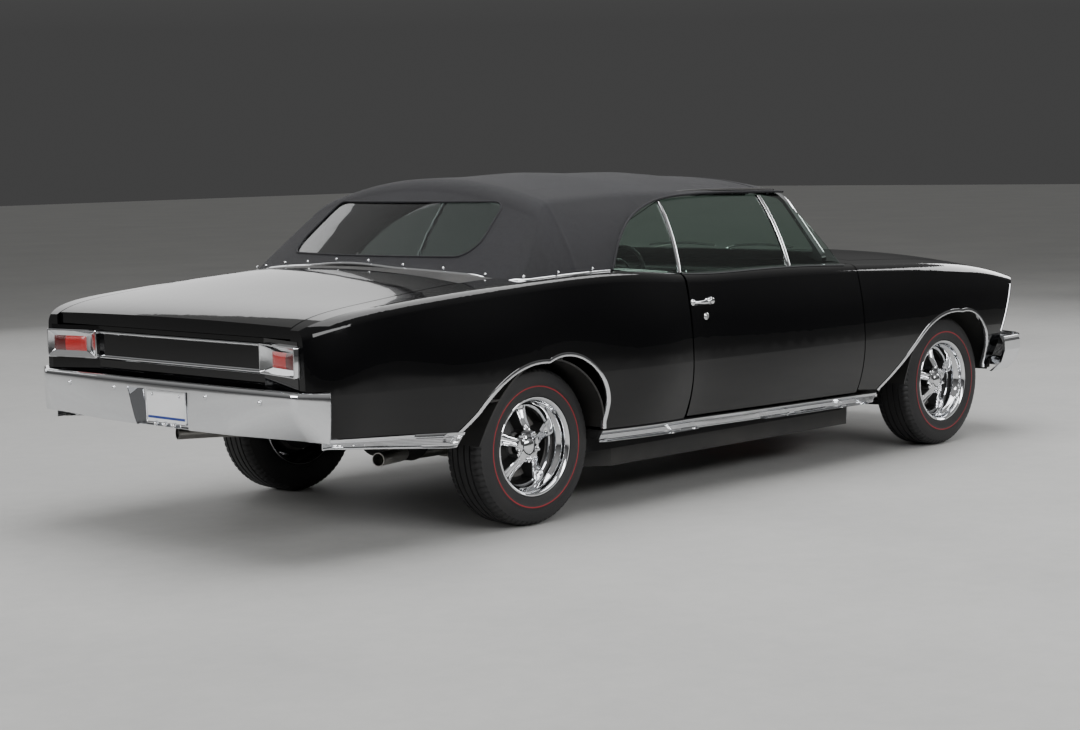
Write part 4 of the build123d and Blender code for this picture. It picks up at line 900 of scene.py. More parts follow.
def make_plate():
    """A blank white plate with one blue line, in a thin bright frame with its lamp under it."""
    plate = Shape("rear_plate", "plate_white", "plate_blue", "chrome")
    facing = (-1, 0, 0), (0, -1, 0)
    rounded_slab(plate, [-2.463, 0, 0.548], 0.126, 0.064, 0.0022, *facing, 0)
    rounded_slab(plate, [-2.4650, 0, 0.502], 0.121, 0.0052, 0.0008, *facing, 1, 0.001)
    outline = box_ring(-0.128, 0.128, 0.482, 0.614, 0.008, 6)
    frame_path = np.column_stack([np.full(len(outline), -2.4652), outline])
    plate.bar(frame_path, circle(0.0024, 8), (-1, 0, 0), 2, ring=True)
    for y in (-0.0889, 0.0889):
        dome(plate, (-2.4655, y, 0.592), (-1, 0, 0), 0.0075, 0.005, 2)
    for y in (-0.06, 0.0, 0.06):
        dome(plate, (-2.470, y, 0.478), (-1, 0, 0), 0.011, 0.012, 2)
    plate.make("root")


def make_bumper_bolts():
    """Polished round heads on both bumper faces."""
    bolts = Shape("bumper_bolts", "chrome")
    for side in SIDES.values():
        dome(bolts, (-2.4945, side * 0.622, 0.606), (-1, 0, 0), 0.011, 0.006)
        dome(bolts, (-2.4995, side * 0.300, 0.606), (-1, 0, 0), 0.011, 0.006)
        dome(bolts, (2.4870, side * 0.390, 0.452), (1, 0, 0), 0.011, 0.006)
    bolts.make("root")


make_tail_lamps()
make_plate()
make_bumper_bolts()

# %% [markdown]
# The side window is one arc in section all along the car, so its bright bars are profiles carried
# along that arc: the vent window's bar on each door, and the quarter window's front edge. The belt
# strip lies along the top of the door skin, with its seal beside it.

# %% Window bars and belt strips
GLASS_BELT = np.array([0.846, 0.930])
GLASS_RAIL = np.array([0.650, 1.296])
GLASS_BULGE = 0.022
GLASS_RUN = GLASS_RAIL - GLASS_BELT
GLASS_R = (GLASS_RUN @ GLASS_RUN / 4 + GLASS_BULGE ** 2) / (2 * GLASS_BULGE)
GLASS_CENTRE = GLASS_BELT + GLASS_RUN / 2 - (GLASS_R - GLASS_BULGE) * unit(
    np.array([GLASS_RUN[1], -GLASS_RUN[0]]))


def glass_y(z, offset=0.0):
    """Half width of the side glass at a height, moved outwards by offset."""
    return GLASS_CENTRE[0] + np.sqrt((GLASS_R + offset) ** 2 - (z - GLASS_CENTRE[1]) ** 2)


def glass_path(points, side, offset, count=40):
    """Side-view points carried on to the side glass."""
    line = along(points, count)
    return np.column_stack([line[:, 0], side * glass_y(line[:, 1], offset), line[:, 1]])


BAR = softened(np.array([(-8, -7), (8, -7), (9, 0), (6, 5), (-6, 5), (-9, 0)]) / 1000, 1)


def make_window_bars():
    """Vent bar, belt strip and its seal on each door, and the bars of the quarter windows."""
    for name, side in SIDES.items():
        tree = skin_of(f"door_{name}")
        vent = Shape(f"vent_window_bar_{name}", "chrome", "rubber_seal")
        path = glass_path([(0.386, 0.962), (0.386, 1.282)], side, 0.009)
        vent.bar(path, BAR, (0, side, 0.45), 0)
        top = lay(tree, np.linspace(-0.396, 0.772, 60), side * 0.868, OVER, (0, 0, -1))
        strip = [(-0.007, -0.001), (0.007, -0.001), (0.006, 0.004), (0, 0.006), (-0.006, 0.004)]
        vent.bar(top, strip, (0, 0, 1), 0)
        vent.bar(top - [0, side * 0.0125, 0], strap(3.5, -4, 7, 0), (0, 0, 1), 1)
        vent.make(f"door_{name}")
    rear = Shape("quarter_window_bars", "chrome")
    for side in SIDES.values():
        path = glass_path([(-0.373, 0.974), (-0.314, 1.279)], side, 0.006)
        rear.bar(path, BAR * 1.05, (0, side, 0.45))
    rear.make("root")


make_window_bars()

# %% [markdown]
# The door handle is a bright grip on two feet with a round push button at its front, and the key
# lock sits below it. Both lie on the door's own skin, found by rays.

# %% Door handles
def make_handles():
    """Grip = a path of seven (x, out) points over the skin, thick in the middle; button and lock
    are turned cylinders."""
    for name, side in SIDES.items():
        tree = skin_of(f"door_{name}")
        reach = np.array([(-0.385, 0.002), (-0.378, 0.014), (-0.362, 0.024), (-0.330, 0.028),
                          (-0.300, 0.026), (-0.284, 0.016), (-0.279, 0.002)])
        base = lay(tree, reach[:, 0], side * BESIDE, 0.848, (0, -side, 0))
        path = bend(base + reach[:, 1:] * [0, side, 0], 30)
        thick = np.interp(np.linspace(0, 1, 30), [0, 0.2, 0.5, 0.8, 1], [0.8, 0.7, 1.15, 1.0, 1.1])
        grid = sweep(path, strap(6, -8, 8, 2), (0, 0, 1))
        grid = path[:, None] + (grid - path[:, None]) * thick[:, None, None]
        handle = Shape(f"door_handle_{name}", "chrome")
        handle.grid(grid, ring_v=True, cap_u=True)
        foot = lay(tree, [-0.262, -0.300], side * BESIDE, [0.849, 0.785], (0, -side, 0))
        for spot, size, out in ((foot[0], 0.0135, 0.016), (foot[1], 0.0125, 0.006)):
            stem = np.array([(size * 1.25, -0.004), (size * 1.25, 0.002), (size, 0.004), (size, out),
                             (size * 0.8, out + 0.002), (0.0001, out + 0.002)])
            handle.grid(lathe(stem, spot, side, 24), ring_u=True)
        dome(handle, base[0] + [0.004, 0, 0], (0, side, 0), 0.014, 0.007)
        dome(handle, base[-1] - [0.004, 0, 0], (0, side, 0), 0.013, 0.007)
        handle.make(f"door_{name}")


make_handles()
print("tail, windows and handles on")

# %% [markdown]
# The top is one sheet of woven fabric stretched over bows. Its shape comes from two families of
# circles: the roofline turned about a low axis gives the arch, and the side glass arc moved out
# gives the sides. For a ray from inside the cabin, the nearer of the two is the cloth, and a soft
# minimum rounds the rail where they meet. The sheet's edge follows the window opening ahead and the
# body behind, and its seams and the sag between bows are small changes of the same radius.

# %% Fabric top
CLOTH_OUT = 0.016               # how far the cloth stands outside the side glass
ARCH_Z = 1.409 - 2.350          # the axis that the roofline turns about
ROOF_POINTS = [(0.700, 1.3581), (-0.250, 1.409), (-1.010, 1.396)]
KNEE, FOOT = np.array([-1.120, 1.345]), np.array([-1.498, 1.052])
EYE_Z = 0.950                   # where the rays start, on the car's middle line
CLOTH_EDGE = np.array([(-0.800, 1.003), (-0.716, 1.110), (-0.590, 1.205), (-0.440, 1.262),
                       (-0.275, 1.293), (0.010, 1.303), (0.410, 1.297), (0.566, 1.292),
                       (0.620, 1.290)])
HEADER = (0.612, 2.300)         # x of the front edge at the middle, and the radius of its sweep
BOWS = [-1.015, -0.480, 0.060, 0.590]
HOLE_LOW, HOLE_HIGH = (0.575, 1.085), (0.520, 1.300)    # half width and height, of both edges


def roofline():
    """Dense (x, z) points of the centreline: an arc, a tangent arc to the knee, and a straight."""
    arc = arc_through(*ROOF_POINTS, 60)
    bow = arc[-1]
    heading = unit(arc[-1] - arc[-2])
    chord = KNEE - bow
    normal = np.array([heading[1], -heading[0]])
    normal *= np.sign(normal @ chord)
    radius = (chord @ chord) / (2 * normal @ chord)
    centre = bow + normal * radius
    half = np.arcsin(np.clip(np.linalg.norm(chord) / (2 * radius), -1, 1))
    turn = np.linspace(0, 2 * half, 16)
    fall = centre - normal * radius * np.cos(turn)[:, None] + heading * radius * np.sin(turn)[:, None]
    return np.concatenate([arc[:-1], fall, along([KNEE, FOOT], 30)[1:]])[::-1]


ROOFLINE = roofline()


def top_radius(x, angle, inset=0.0):
    """Distance from the eye line (y = 0, z = EYE_Z) to the cloth, at an angle from upright."""
    rise = np.interp(x, ROOFLINE[:, 0], ROOFLINE[:, 1]) - inset - ARCH_Z
    height = EYE_Z - ARCH_Z
    cosine, sine = np.cos(angle), np.abs(np.sin(angle))
    inner = np.maximum((height * cosine) ** 2 - height ** 2 + rise ** 2, 0)
    roof = np.maximum(np.sqrt(inner) - height * cosine, 0.001)
    off = np.array([-GLASS_CENTRE[0], EYE_Z - GLASS_CENTRE[1]])
    lean = off[0] * sine + off[1] * cosine
    wall = np.sqrt(np.maximum(lean ** 2 - off @ off + (GLASS_R + CLOTH_OUT - inset) ** 2, 0)) - lean
    blend = 0.017
    near = np.clip(blend - np.abs(roof - wall), 0, None) / blend
    return np.minimum(roof, wall) - near ** 2 * blend / 4


def top_point(x, angle, inset=0.0):
    """Points of the cloth at x and an angle from upright."""
    reach = top_radius(x, angle, inset)
    return np.stack([np.broadcast_to(x, reach.shape), reach * np.sin(angle),
                     EYE_Z + reach * np.cos(angle)], -1)


def edge_angle(x):
    """The cloth's edge: where its height meets the window opening, or the body behind it."""
    angle = np.linspace(0.02, 1.62, 400)
    limits = []
    body = skin_of("quarter_left", "trunk_floor", "trunk_lid")
    for station in x:
        line = top_point(np.full(400, station), angle)
        if station > CLOTH_EDGE[0, 0]:
            over = line[:, 2] - np.interp(station, CLOTH_EDGE[:, 0], CLOTH_EDGE[:, 1])
        else:
            deck = lay(body, line[::8, 0], line[::8, 1], 1.5, (0, 0, -1))
            over = line[:, 2] - np.interp(angle, angle[::8], deck[:, 2]) + 0.002
        below = np.flatnonzero(over < 0)
        first = max(below[0], 1) if len(below) else 399
        share = over[first - 1] / max(over[first - 1] - over[first], 1e-9)
        limits.append(angle[first - 1] + np.clip(share, 0, 1) * (angle[1] - angle[0]))
    return np.array(limits)


def inside_hole(y, z):
    """Which points lie in the rear window's round-cornered outline, and the outline's own points."""
    corners = np.array([(-HOLE_LOW[0], HOLE_LOW[1]), (HOLE_LOW[0], HOLE_LOW[1]),
                        (HOLE_HIGH[0], HOLE_HIGH[1]), (-HOLE_HIGH[0], HOLE_HIGH[1])])
    outline = []
    for index, corner in enumerate(corners):
        before = unit(corners[index - 1] - corner)
        after = unit(corners[(index + 1) % 4] - corner)
        half = np.arccos(np.clip(before @ after, -1, 1)) / 2
        radius = 0.060
        centre = corner + unit(before + after) * radius / np.sin(half)
        touch = [corner + way * radius / np.tan(half) for way in (before, after)]
        bow = centre - unit(before + after) * radius
        outline.append(arc_through(touch[0], bow, touch[1], 12))
    outline = along(np.concatenate(outline + [outline[0][:1]]), 400)[:-1]
    inside = np.ones(y.shape, bool)
    for a, b in zip(outline, np.roll(outline, -1, axis=0)):
        inside &= (b[0] - a[0]) * (z - a[1]) - (b[1] - a[1]) * (y - a[0]) > 0
    return inside, outline


def cloth_relief(x, across):
    """Seams stand 1.6 mm proud; the cloth sags up to 6 mm between bows and puckers by the seams."""
    relief = np.zeros(np.broadcast(x, across).shape)
    for bow in BOWS[:3]:
        relief = relief + 0.0016 * np.exp(-((x - bow) / 0.007) ** 2)
        relief = relief + 0.0006 * np.exp(-((x - bow + 0.016) / 0.0016) ** 2)
    for seam in (-0.50, 0.50):
        relief = relief + 0.0016 * np.exp(-((across - seam) / 0.006) ** 2)
        relief = relief - 0.0010 * np.exp(-((across - seam) / 0.035) ** 2) * (
            0.5 + 0.5 * np.sin(x * 95.0 + 3 * np.sin(x * 21.0)))
    for front, back in zip(BOWS[1:], BOWS[:-1]):
        span = np.clip((x - back) / (front - back), 0, 1)
        relief = relief - 0.006 * np.sin(np.pi * span) ** 2 * np.clip(1 - (across / 0.75) ** 4, 0, 1)
    rear = np.clip((-1.02 - x) / 0.30, 0, 1)
    relief = relief - 0.004 * rear * (1 - rear) * 4 * np.clip((np.abs(across) - 0.60) / 0.15, 0, 1)
    return relief


def make_cloth_grid(rows=230, columns=241):
    """Point(u, v): x runs from the foot to the swept header, v from one edge to the other."""
    base = np.concatenate([np.linspace(FOOT[0], -1.10, 70),
                           np.linspace(-1.10, HEADER[0], rows - 70)[1:]])
    limit = edge_angle(base)
    limit[0] = limit[1] * 0.75
    share = np.linspace(-1, 1, columns)
    angle = limit[:, None] * share[None]
    x = np.broadcast_to(base[:, None], angle.shape)
    points = top_point(x, angle)
    sweep_back = HEADER[1] - np.sqrt(HEADER[1] ** 2 - points[..., 1] ** 2)
    weight = np.clip((x - 0.1) / (HEADER[0] - 0.1), 0, 1) ** 2
    x = x - sweep_back * weight
    angle = np.interp(x[:, 0], base, limit)[:, None] * share[None]
    points = top_point(x, angle)
    step = np.linalg.norm(np.diff(points, axis=1), axis=-1)
    across = np.concatenate([np.zeros((len(base), 1)), np.cumsum(step, axis=1)], axis=1)
    across -= across[:, columns // 2:columns // 2 + 1]
    centre = points[:, columns // 2]
    down = np.concatenate([[0], np.cumsum(np.linalg.norm(np.diff(centre, axis=0), axis=1))])
    reach = top_radius(x, angle) + cloth_relief(x, across)
    points[..., 1] = reach * np.sin(angle)
    points[..., 2] = EYE_Z + reach * np.cos(angle)
    return points, across, np.broadcast_to(down[:, None], across.shape)


def on_rear_slope(outline):
    """Points of the cloth's rear slope whose (y, z) are given, from its own turned arc."""
    rear = ROOFLINE[ROOFLINE[:, 0] < -1.0]
    lift = ARCH_Z + np.sqrt((outline[:, 1] - ARCH_Z) ** 2 + outline[:, 0] ** 2)
    return np.column_stack([np.interp(lift, rear[:, 1], rear[:, 0]), outline])


def cut_window(flat, quads):
    """Drops the quads inside the rear window and draws the rim's points on to its outline."""
    middle = flat[quads].mean(1)
    cut, outline = inside_hole(middle[:, 1], middle[:, 2])
    cut &= middle[:, 0] < -1.05
    gone, kept = np.zeros((2, len(flat)), bool)
    gone[quads[cut].ravel()] = True
    kept[quads[~cut].ravel()] = True
    rim = np.flatnonzero(gone & kept)
    gap = np.linalg.norm(flat[rim, None, 1:] - outline[None], axis=-1)
    flat[rim] = on_rear_slope(outline[gap.argmin(1)])
    return quads[~cut], outline


def evaluated(piece, name):
    """A plain copy of the object's mesh as its modifiers leave it."""
    made = bpy.data.meshes.new_from_object(piece.evaluated_get(bpy.context.evaluated_depsgraph_get()))
    made.name = name
    return made


def make_top():
    """The grid with its window cut out and its cutting plan as a UV map, made 2.5 mm thick."""
    points, across, down = make_cloth_grid()
    index = np.arange(across.size).reshape(across.shape)
    quads = np.stack([index[:-1, :-1], index[1:, :-1], index[1:, 1:], index[:-1, 1:]], -1)
    flat = points.reshape(-1, 3).copy()
    faces, outline = cut_window(flat, quads.reshape(-1, 4))
    mesh = bpy.data.meshes.new("fabric_top")
    mesh.from_pydata(flat.tolist(), [], faces.tolist())
    area = 0.5 * np.linalg.norm(np.cross(flat[faces[:, 2]] - flat[faces[:, 0]],
                                         flat[faces[:, 3]] - flat[faces[:, 1]]), axis=1).sum()
    layer = mesh.uv_layers.new(name="cut")
    corner = np.zeros(len(mesh.loops), np.int32)
    mesh.loops.foreach_get("vertex_index", corner)
    layer.data.foreach_set("uv", np.column_stack([across.ravel()[corner],
                                                  down.ravel()[corner]]).astype(np.float32).ravel())
    work = bmesh.new()
    work.from_mesh(mesh)
    bmesh.ops.delete(work, geom=[v for v in work.verts if not v.link_faces], context="VERTS")
    bmesh.ops.remove_doubles(work, verts=work.verts, dist=0.00001)
    work.to_mesh(mesh)
    work.free()
    if mesh.polygons[len(mesh.polygons) // 2].normal.z < 0:
        mesh.flip_normals()
    mesh.shade_smooth()
    for finish in ("top_cloth", "headliner"):
        mesh.materials.append(FINISHES[finish])
    top = placed("fabric_top", mesh)
    wall = top.modifiers.new("thickness", "SOLIDIFY")
    wall.thickness, wall.offset, wall.material_offset = 0.0025, -1, 1
    solid = evaluated(top, "fabric_top_solid")
    top.modifiers.clear()
    top.data = solid
    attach(top, "root")
    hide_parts("soft_top")
    size = float(across.max() - across.min()), float(down.max())
    print("cloth", np.round(size, 3), "m, area", round(float(area), 3))
    return top, size, float(area), outline, points


TOP, TOP_FLAT, TOP_AREA, HOLE, TOP_GRID = make_top()


def on_top(x, side, inset, z):
    """The cloth's side surface at heights, as points, moved inwards by inset."""
    return np.column_stack([x, side * glass_y(z, CLOTH_OUT - inset), z])


def make_top_trim():
    """A round welt along each window opening and round the rear window."""
    welt = Shape("top_welts", "top_cloth")
    line = bend(CLOTH_EDGE, 90)
    line = line[line[:, 0] < 0.585]
    for side in SIDES.values():
        path = on_top(line[:, 0], side, -0.001, line[:, 1] + 0.004)
        welt.bar(path, circle(0.0058, 10), (0, side, 0.3))
    ring = on_rear_slope(HOLE)
    centre = ring.mean(0)
    ring = centre + (ring - centre) * 1.006
    welt.bar(ring[::3], circle(0.0042, 8), (-0.6, 0, 0.8), ring=True)
    return welt.make("root")


WELT = make_top_trim()


def make_bows():
    """Flat steel bows under the cloth, and the side rails over the door windows."""
    frame_shape = Shape("top_bows", "chassis_black")
    for bow in BOWS[:3]:
        limit = edge_angle(np.array([bow]))[0] * 0.96
        angle = np.linspace(-limit, limit, 60)
        path = top_point(np.full(60, bow), angle, 0.022)
        upright = np.column_stack([np.zeros(60), np.sin(angle), np.cos(angle)])
        frame_shape.bar(path, strap(13, -4, 4), upright)
    line = bend(CLOTH_EDGE, 80)
    line = line[(line[:, 0] < 0.560) & (line[:, 0] > -0.78)]
    for side in SIDES.values():
        path = on_top(line[:, 0], side, 0.026, line[:, 1] + 0.012)
        frame_shape.bar(path, strap(8, -12, 12), (0, side, 0.4))
    frame_shape.make("root")


make_bows()

# %% [markdown]
# The seats are foam under black vinyl. A trimmer sews the cover from panels, pulls it over the foam
# and ties the seams down, and the foam pushes the panels up between them. The same is done here:
# each pad starts a little too small, its seams are pinned, and Blender's cloth is blown up inside
# it for twenty frames. A cap on every point's travel keeps the pad to size, and the pleats of the
# insert are pressed in last, where the foam has already given the crown.

# %% Padding
def blank(outline, low_y, high_y, corner, taper=None):
    """A closed prism of a side outline: each end ring is inset by corner * (1 - sin t) while it
    stands corner * (1 - cos t) inside the end plane. taper(points) moves the finished points."""
    outline = softened(np.array(outline) / 1000, 2)
    ahead = unit(np.roll(outline, -1, axis=0) - np.roll(outline, 1, axis=0))
    outward = np.column_stack([ahead[:, 1], -ahead[:, 0]])
    if np.sum(outward * (outline - outline.mean(0))) < 0:
        outward = -outward
    turn = np.linspace(0.25, np.pi / 2, 5)
    inset = corner * (1 - np.sin(turn))
    stand = corner * (1 - np.cos(turn))
    stand -= stand[0]
    insets = np.concatenate([inset, inset[::-1]])
    across = np.concatenate([low_y + stand, high_y - stand[::-1]])
    rings = outline[None] - insets[:, None, None] * outward[None]
    points = np.stack([rings[..., 0], np.broadcast_to(across[:, None], rings.shape[:2]),
                       rings[..., 1]], -1)
    return taper(points) if taper else points


def points_of(mesh):
    """The mesh's points as (n, 3)."""
    flat = np.empty(len(mesh.vertices) * 3, np.float32)
    mesh.vertices.foreach_get("co", flat)
    return flat.reshape(-1, 3).astype(float)


FOAM = {"quality": 5, "mass": 0.2, "tension_stiffness": 12, "compression_stiffness": 12,
        "bending_stiffness": 0.6, "vertex_group_mass": "seams", "use_pressure": True,
        "uniform_pressure_force": 4.0}
FRAMES = 20


def blow_up(name, start, voxel, held, cap):
    """A pad's mesh: the blank remeshed in equal quads, its seams held, the rest blown up, each
    point's way capped, and one subdivision."""
    shape = Shape(name, "seat_vinyl")
    shape.grid(start, ring_v=True, cap_u=True)
    pad = shape.make("root")
    remesh = pad.modifiers.new("even", "REMESH")
    remesh.mode, remesh.voxel_size = "VOXEL", voxel
    pad.data = evaluated(pad, name)
    pad.modifiers.clear()
    before = points_of(pad.data)
    pins = pad.vertex_groups.new(name="seams")
    pins.add(np.flatnonzero(held(before)).tolist(), 1.0, "REPLACE")
    cloth = pad.modifiers.new("foam", "CLOTH")
    for key, value in FOAM.items():
        setattr(cloth.settings, key, value)
    cloth.settings.effector_weights.gravity = 0
    for tick in range(1, FRAMES + 1):
        SCENE.frame_set(tick)
    after = points_of(evaluated(pad, name + "_blown"))
    pad.modifiers.clear()
    SCENE.frame_set(1)
    way = after - before
    far = np.linalg.norm(way, axis=1, keepdims=True)
    before = before + way * np.minimum(1, cap / np.maximum(far, 1e-6))
    pad.data.vertices.foreach_set("co", before.astype(np.float32).ravel())
    smooth = pad.modifiers.new("smooth", "SUBSURF")
    smooth.levels = smooth.render_levels = 1
    pad.data = evaluated(pad, name)
    pad.modifiers.clear()
    print(name, len(pad.data.polygons), "faces")
    return pad


def press(pad, amount):
    """Moves every point inwards along its normal by amount(points, normals), in metres."""
    points = points_of(pad.data)
    normals = np.empty(len(points) * 3, np.float32)
    pad.data.vertex_normals.foreach_get("vector", normals)
    normals = normals.reshape(-1, 3).astype(float)
    points = points - normals * amount(points, normals)[:, None]
    pad.data.vertices.foreach_set("co", points.astype(np.float32).ravel())
    pad.data.shade_smooth()
    pad.data.update()


def groove(distance, depth, half):
    """A sewn valley: depth * exp(-(distance / half)^2)."""
    return depth * np.exp(-(distance / half) ** 2)


def pleats(across, pitch, depth):
    """Rounded ribs between sewn lines: depth * (1 - |sin(pi y / pitch)|)^2 is pressed in."""
    phase = np.abs(np.sin(np.pi * across / pitch))
    return depth * (1 - phase) ** 2


# %% [markdown]
# A bucket seat is a deep cushion and a tall back that narrows towards its top. Both have a plain
# border of vinyl round an insert of narrow pleats that run fore and aft. The left seat is made once
# and copied to the right with its points mirrored and its faces turned round, because a cushion is
# the same on both sides. The bench in the back has two seating places, each with its own insert.

# %% Seats
BUCKET_Y = 0.3775                       # middle of each front seat
CUSHION = [(408, 346), (400, 476), (300, 474), (-60, 432), (-128, 418), (-148, 346)]
BACK = [(-104, 452), (-150, 640), (-226, 922), (-256, 936), (-300, 930), (-312, 900), (-232, 420),
        (-176, 400), (-120, 420)]
BENCH = [(-612, 424), (-608, 546), (-700, 548), (-990, 516), (-1030, 500), (-1030, 424)]
BENCH_BACK = [(-1018, 536), (-1090, 880), (-1110, 902), (-1150, 902), (-1160, 880), (-1160, 500),
              (-1040, 500)]


def narrow_top(points):
    """Half width times 1 - 0.16 s^2 above 0.78 m, with s from 0 to 1 at 0.94 m."""
    share = np.clip((points[..., 2] - 0.78) / 0.16, 0, 1)
    points[..., 1] = BUCKET_Y + (points[..., 1] - BUCKET_Y) * (1 - 0.16 * share ** 2)
    return points


def border(u, v, u_mid, u_half, v_mid, v_half):
    """Signed distance from a rectangle's border in the pad's own two directions, below 0 inside."""
    return np.maximum(np.abs(u - u_mid) - u_half, np.abs(v - v_mid) - v_half)


def mirrored(pad, name):
    """The same pad on the car's other side."""
    mesh = pad.data.copy()
    mesh.name = name
    points = points_of(mesh) * [1, -1, 1]
    mesh.vertices.foreach_set("co", points.astype(np.float32).ravel())
    mesh.flip_normals()
    other = placed(name, mesh)
    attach(other, "root")
    return other


def make_pad(name, form, up, rim, hold, insert, seam, pitch):
    """Blown up with its seams held, then its insert pressed in. up is the axis the face runs along,
    2 or 0; rim and insert are rectangles in it and y; hold is (all below, rim above, all behind)."""
    facing = 2 - up

    def held(at):
        line = np.abs(border(at[:, up], at[:, 1], *rim)) < 0.006
        return (at[:, 2] < hold[0]) | (line & (at[:, 2] > hold[1])) | (at[:, 0] < hold[2])

    def pressed(at, normal):
        y = np.abs(at[:, 1])
        edge = border(at[:, up], y, *insert)
        face = np.clip(normal[:, facing] * 2 - 0.6, 0, 1)
        ribs = pleats(y - insert[2], pitch, 0.0065) * (edge < 0)
        return face * (groove(edge, *seam) + groove(y, 0.012, 0.012) + ribs)

    start, voxel, cap = form
    pad = blow_up(name, start, voxel, held, cap)
    press(pad, pressed)
    return pad


def finish_pads(node, *pads):
    for pad in pads:
        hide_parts(node)


def make_buckets():
    """Cushion and back of the left seat, and their copies."""
    low, high = BUCKET_Y - 0.232, BUCKET_Y + 0.232
    cushion = make_pad("bucket_cushion_left", (blank(CUSHION, low, high, 0.045), 0.011, 0.022), 0,
                       (0.13, 0.262, BUCKET_Y, 0.216), (0.36, 0.41, -9),
                       (0.125, 0.205, BUCKET_Y, 0.150), (0.009, 0.008), 0.0375)
    back = make_pad("bucket_back_left", (blank(BACK, low, high, 0.04, narrow_top), 0.011, 0.018), 2,
                    (0.66, 0.255, BUCKET_Y, 0.212), (0.44, 0, -9),
                    (0.675, 0.185, BUCKET_Y, 0.145), (0.009, 0.008), 0.03625)
    for pad, name in ((cushion, "bucket_cushion_right"), (back, "bucket_back_right")):
        finish_pads("front_seats", pad, mirrored(pad, name))


def make_bench():
    """The rear cushion and its back, each with two pleated inserts."""
    seat = make_pad("bench_cushion", (blank(BENCH, -0.578, 0.578, 0.04), 0.0125, 0.022), 0,
                    (-0.81, 0.188, 0, 0.562), (0.436, 0.5, -9),
                    (-0.80, 0.150, 0.29, 0.215), (0.008, 0.009), 0.043)
    back = make_pad("bench_back", (blank(BENCH_BACK, -0.576, 0.576, 0.035), 0.0125, 0.02), 2,
                    (0.70, 0.180, 0, 0.560), (0.52, 0, -1.14),
                    (0.70, 0.140, 0.29, 0.215), (0.008, 0.009), 0.043)
    finish_pads("rear_seat", seat, back)


make_buckets()
make_bench()

# %% [markdown]
# Each bucket stands on a steel pan with two slide rails that are bolted to the floor, and a bright
# strip covers the joint between cushion and pan. A chromed hinge arm ties the back to the cushion.

# %% Seat frames
def slab(shape, low, high, finish=0, edge=0.004):
    """A block with its edges broken by edge, as a stack of rounded rings from low to high."""
    low, high = np.array(low, float), np.array(high, float)
    rings = []
    for inset, z in ((edge, low[2]), (0, low[2] + edge), (0, high[2] - edge), (edge, high[2])):
        ring = box_ring(low[0] + inset, high[0] - inset, low[1] + inset, high[1] - inset,
                        max(edge, 0.0015), 4)
        rings.append(np.column_stack([ring, np.full(len(ring), z)]))
    shape.grid(np.stack(rings), finish, ring_v=True, cap_u=True)


def make_seat_frames():
    """Pan, rails, strip and hinge arms of both front seats, and the bench's pan."""
    frames = Shape("seat_frames", "chassis_black", "chrome")
    for side in SIDES.values():
        middle = side * BUCKET_Y
        slab(frames, (-0.150, middle - 0.205, 0.322), (0.385, middle + 0.205, 0.350))
        for offset in (-0.175, 0.175):
            slab(frames, (-0.135, middle + offset - 0.018, 0.2625),
                 (0.325, middle + offset + 0.018, 0.324))
        for offset in (-0.238, 0.238):
            slab(frames, (-0.150, middle + offset - 0.003, 0.338),
                 (0.392, middle + offset + 0.003, 0.366), 1, 0.0015)
            arm = [(-0.085, 0, 0.375), (-0.150, 0, 0.430), (-0.185, 0, 0.520)]
            path = bend(arm, 20) + [0, middle + offset, 0]
            frames.bar(path, strap(12, -3, 3), (0, 1, 0), 1)
    slab(frames, (-1.025, -0.560, 0.414), (-0.625, 0.560, 0.440))
    frames.make("root")


make_seat_frames()

# %% [markdown]
# A door card is a board under vinyl, clipped to the inner skin of the door. Its middle is pleated
# like the seats, a bright strip divides it from the carpet at its foot, and the armrest, the window
# crank and the release lever are screwed on over it. The relief is one height over a flat board.

# %% Door cards
DOOR_WALL_Y = 0.795


def ribs(x):
    """Height of the vertical pleats, 34 mm apart and 4.5 mm high."""
    return np.abs(np.sin(np.pi * x / 0.034)) ** 0.6 * 0.0045


def armrest(shape, side, outline, x_low, x_high, steps, middle, wall):
    """A pad along the car: its outline of (reach from the wall, z) shrinks to middle at both ends."""
    x = np.linspace(x_low, x_high, steps)
    swell = np.sin(np.linspace(0.35, np.pi - 0.35, steps)) ** 0.35
    body = middle + (softened(outline, 2)[None] - middle) * swell[:, None, None]
    shape.grid(np.stack([np.broadcast_to(x[:, None], body.shape[:2]),
                         side * (wall - body[..., 0]), body[..., 1]], -1), ring_v=True, cap_u=True)


def card_relief(x, z):
    """Height over the board in metres: a rolled edge all round, pleats between two sewn lines."""
    edge = border(x, z, 0.205, 0.590, 0.660, 0.262)
    rolled = 0.009 * np.sqrt(np.clip(-edge / 0.014, 0, 1))
    band = border(x, z, 0.205, 0.540, 0.715, 0.115)
    return rolled + np.where(band < 0, ribs(x) - 0.002, 0) - groove(band, 0.003, 0.004)


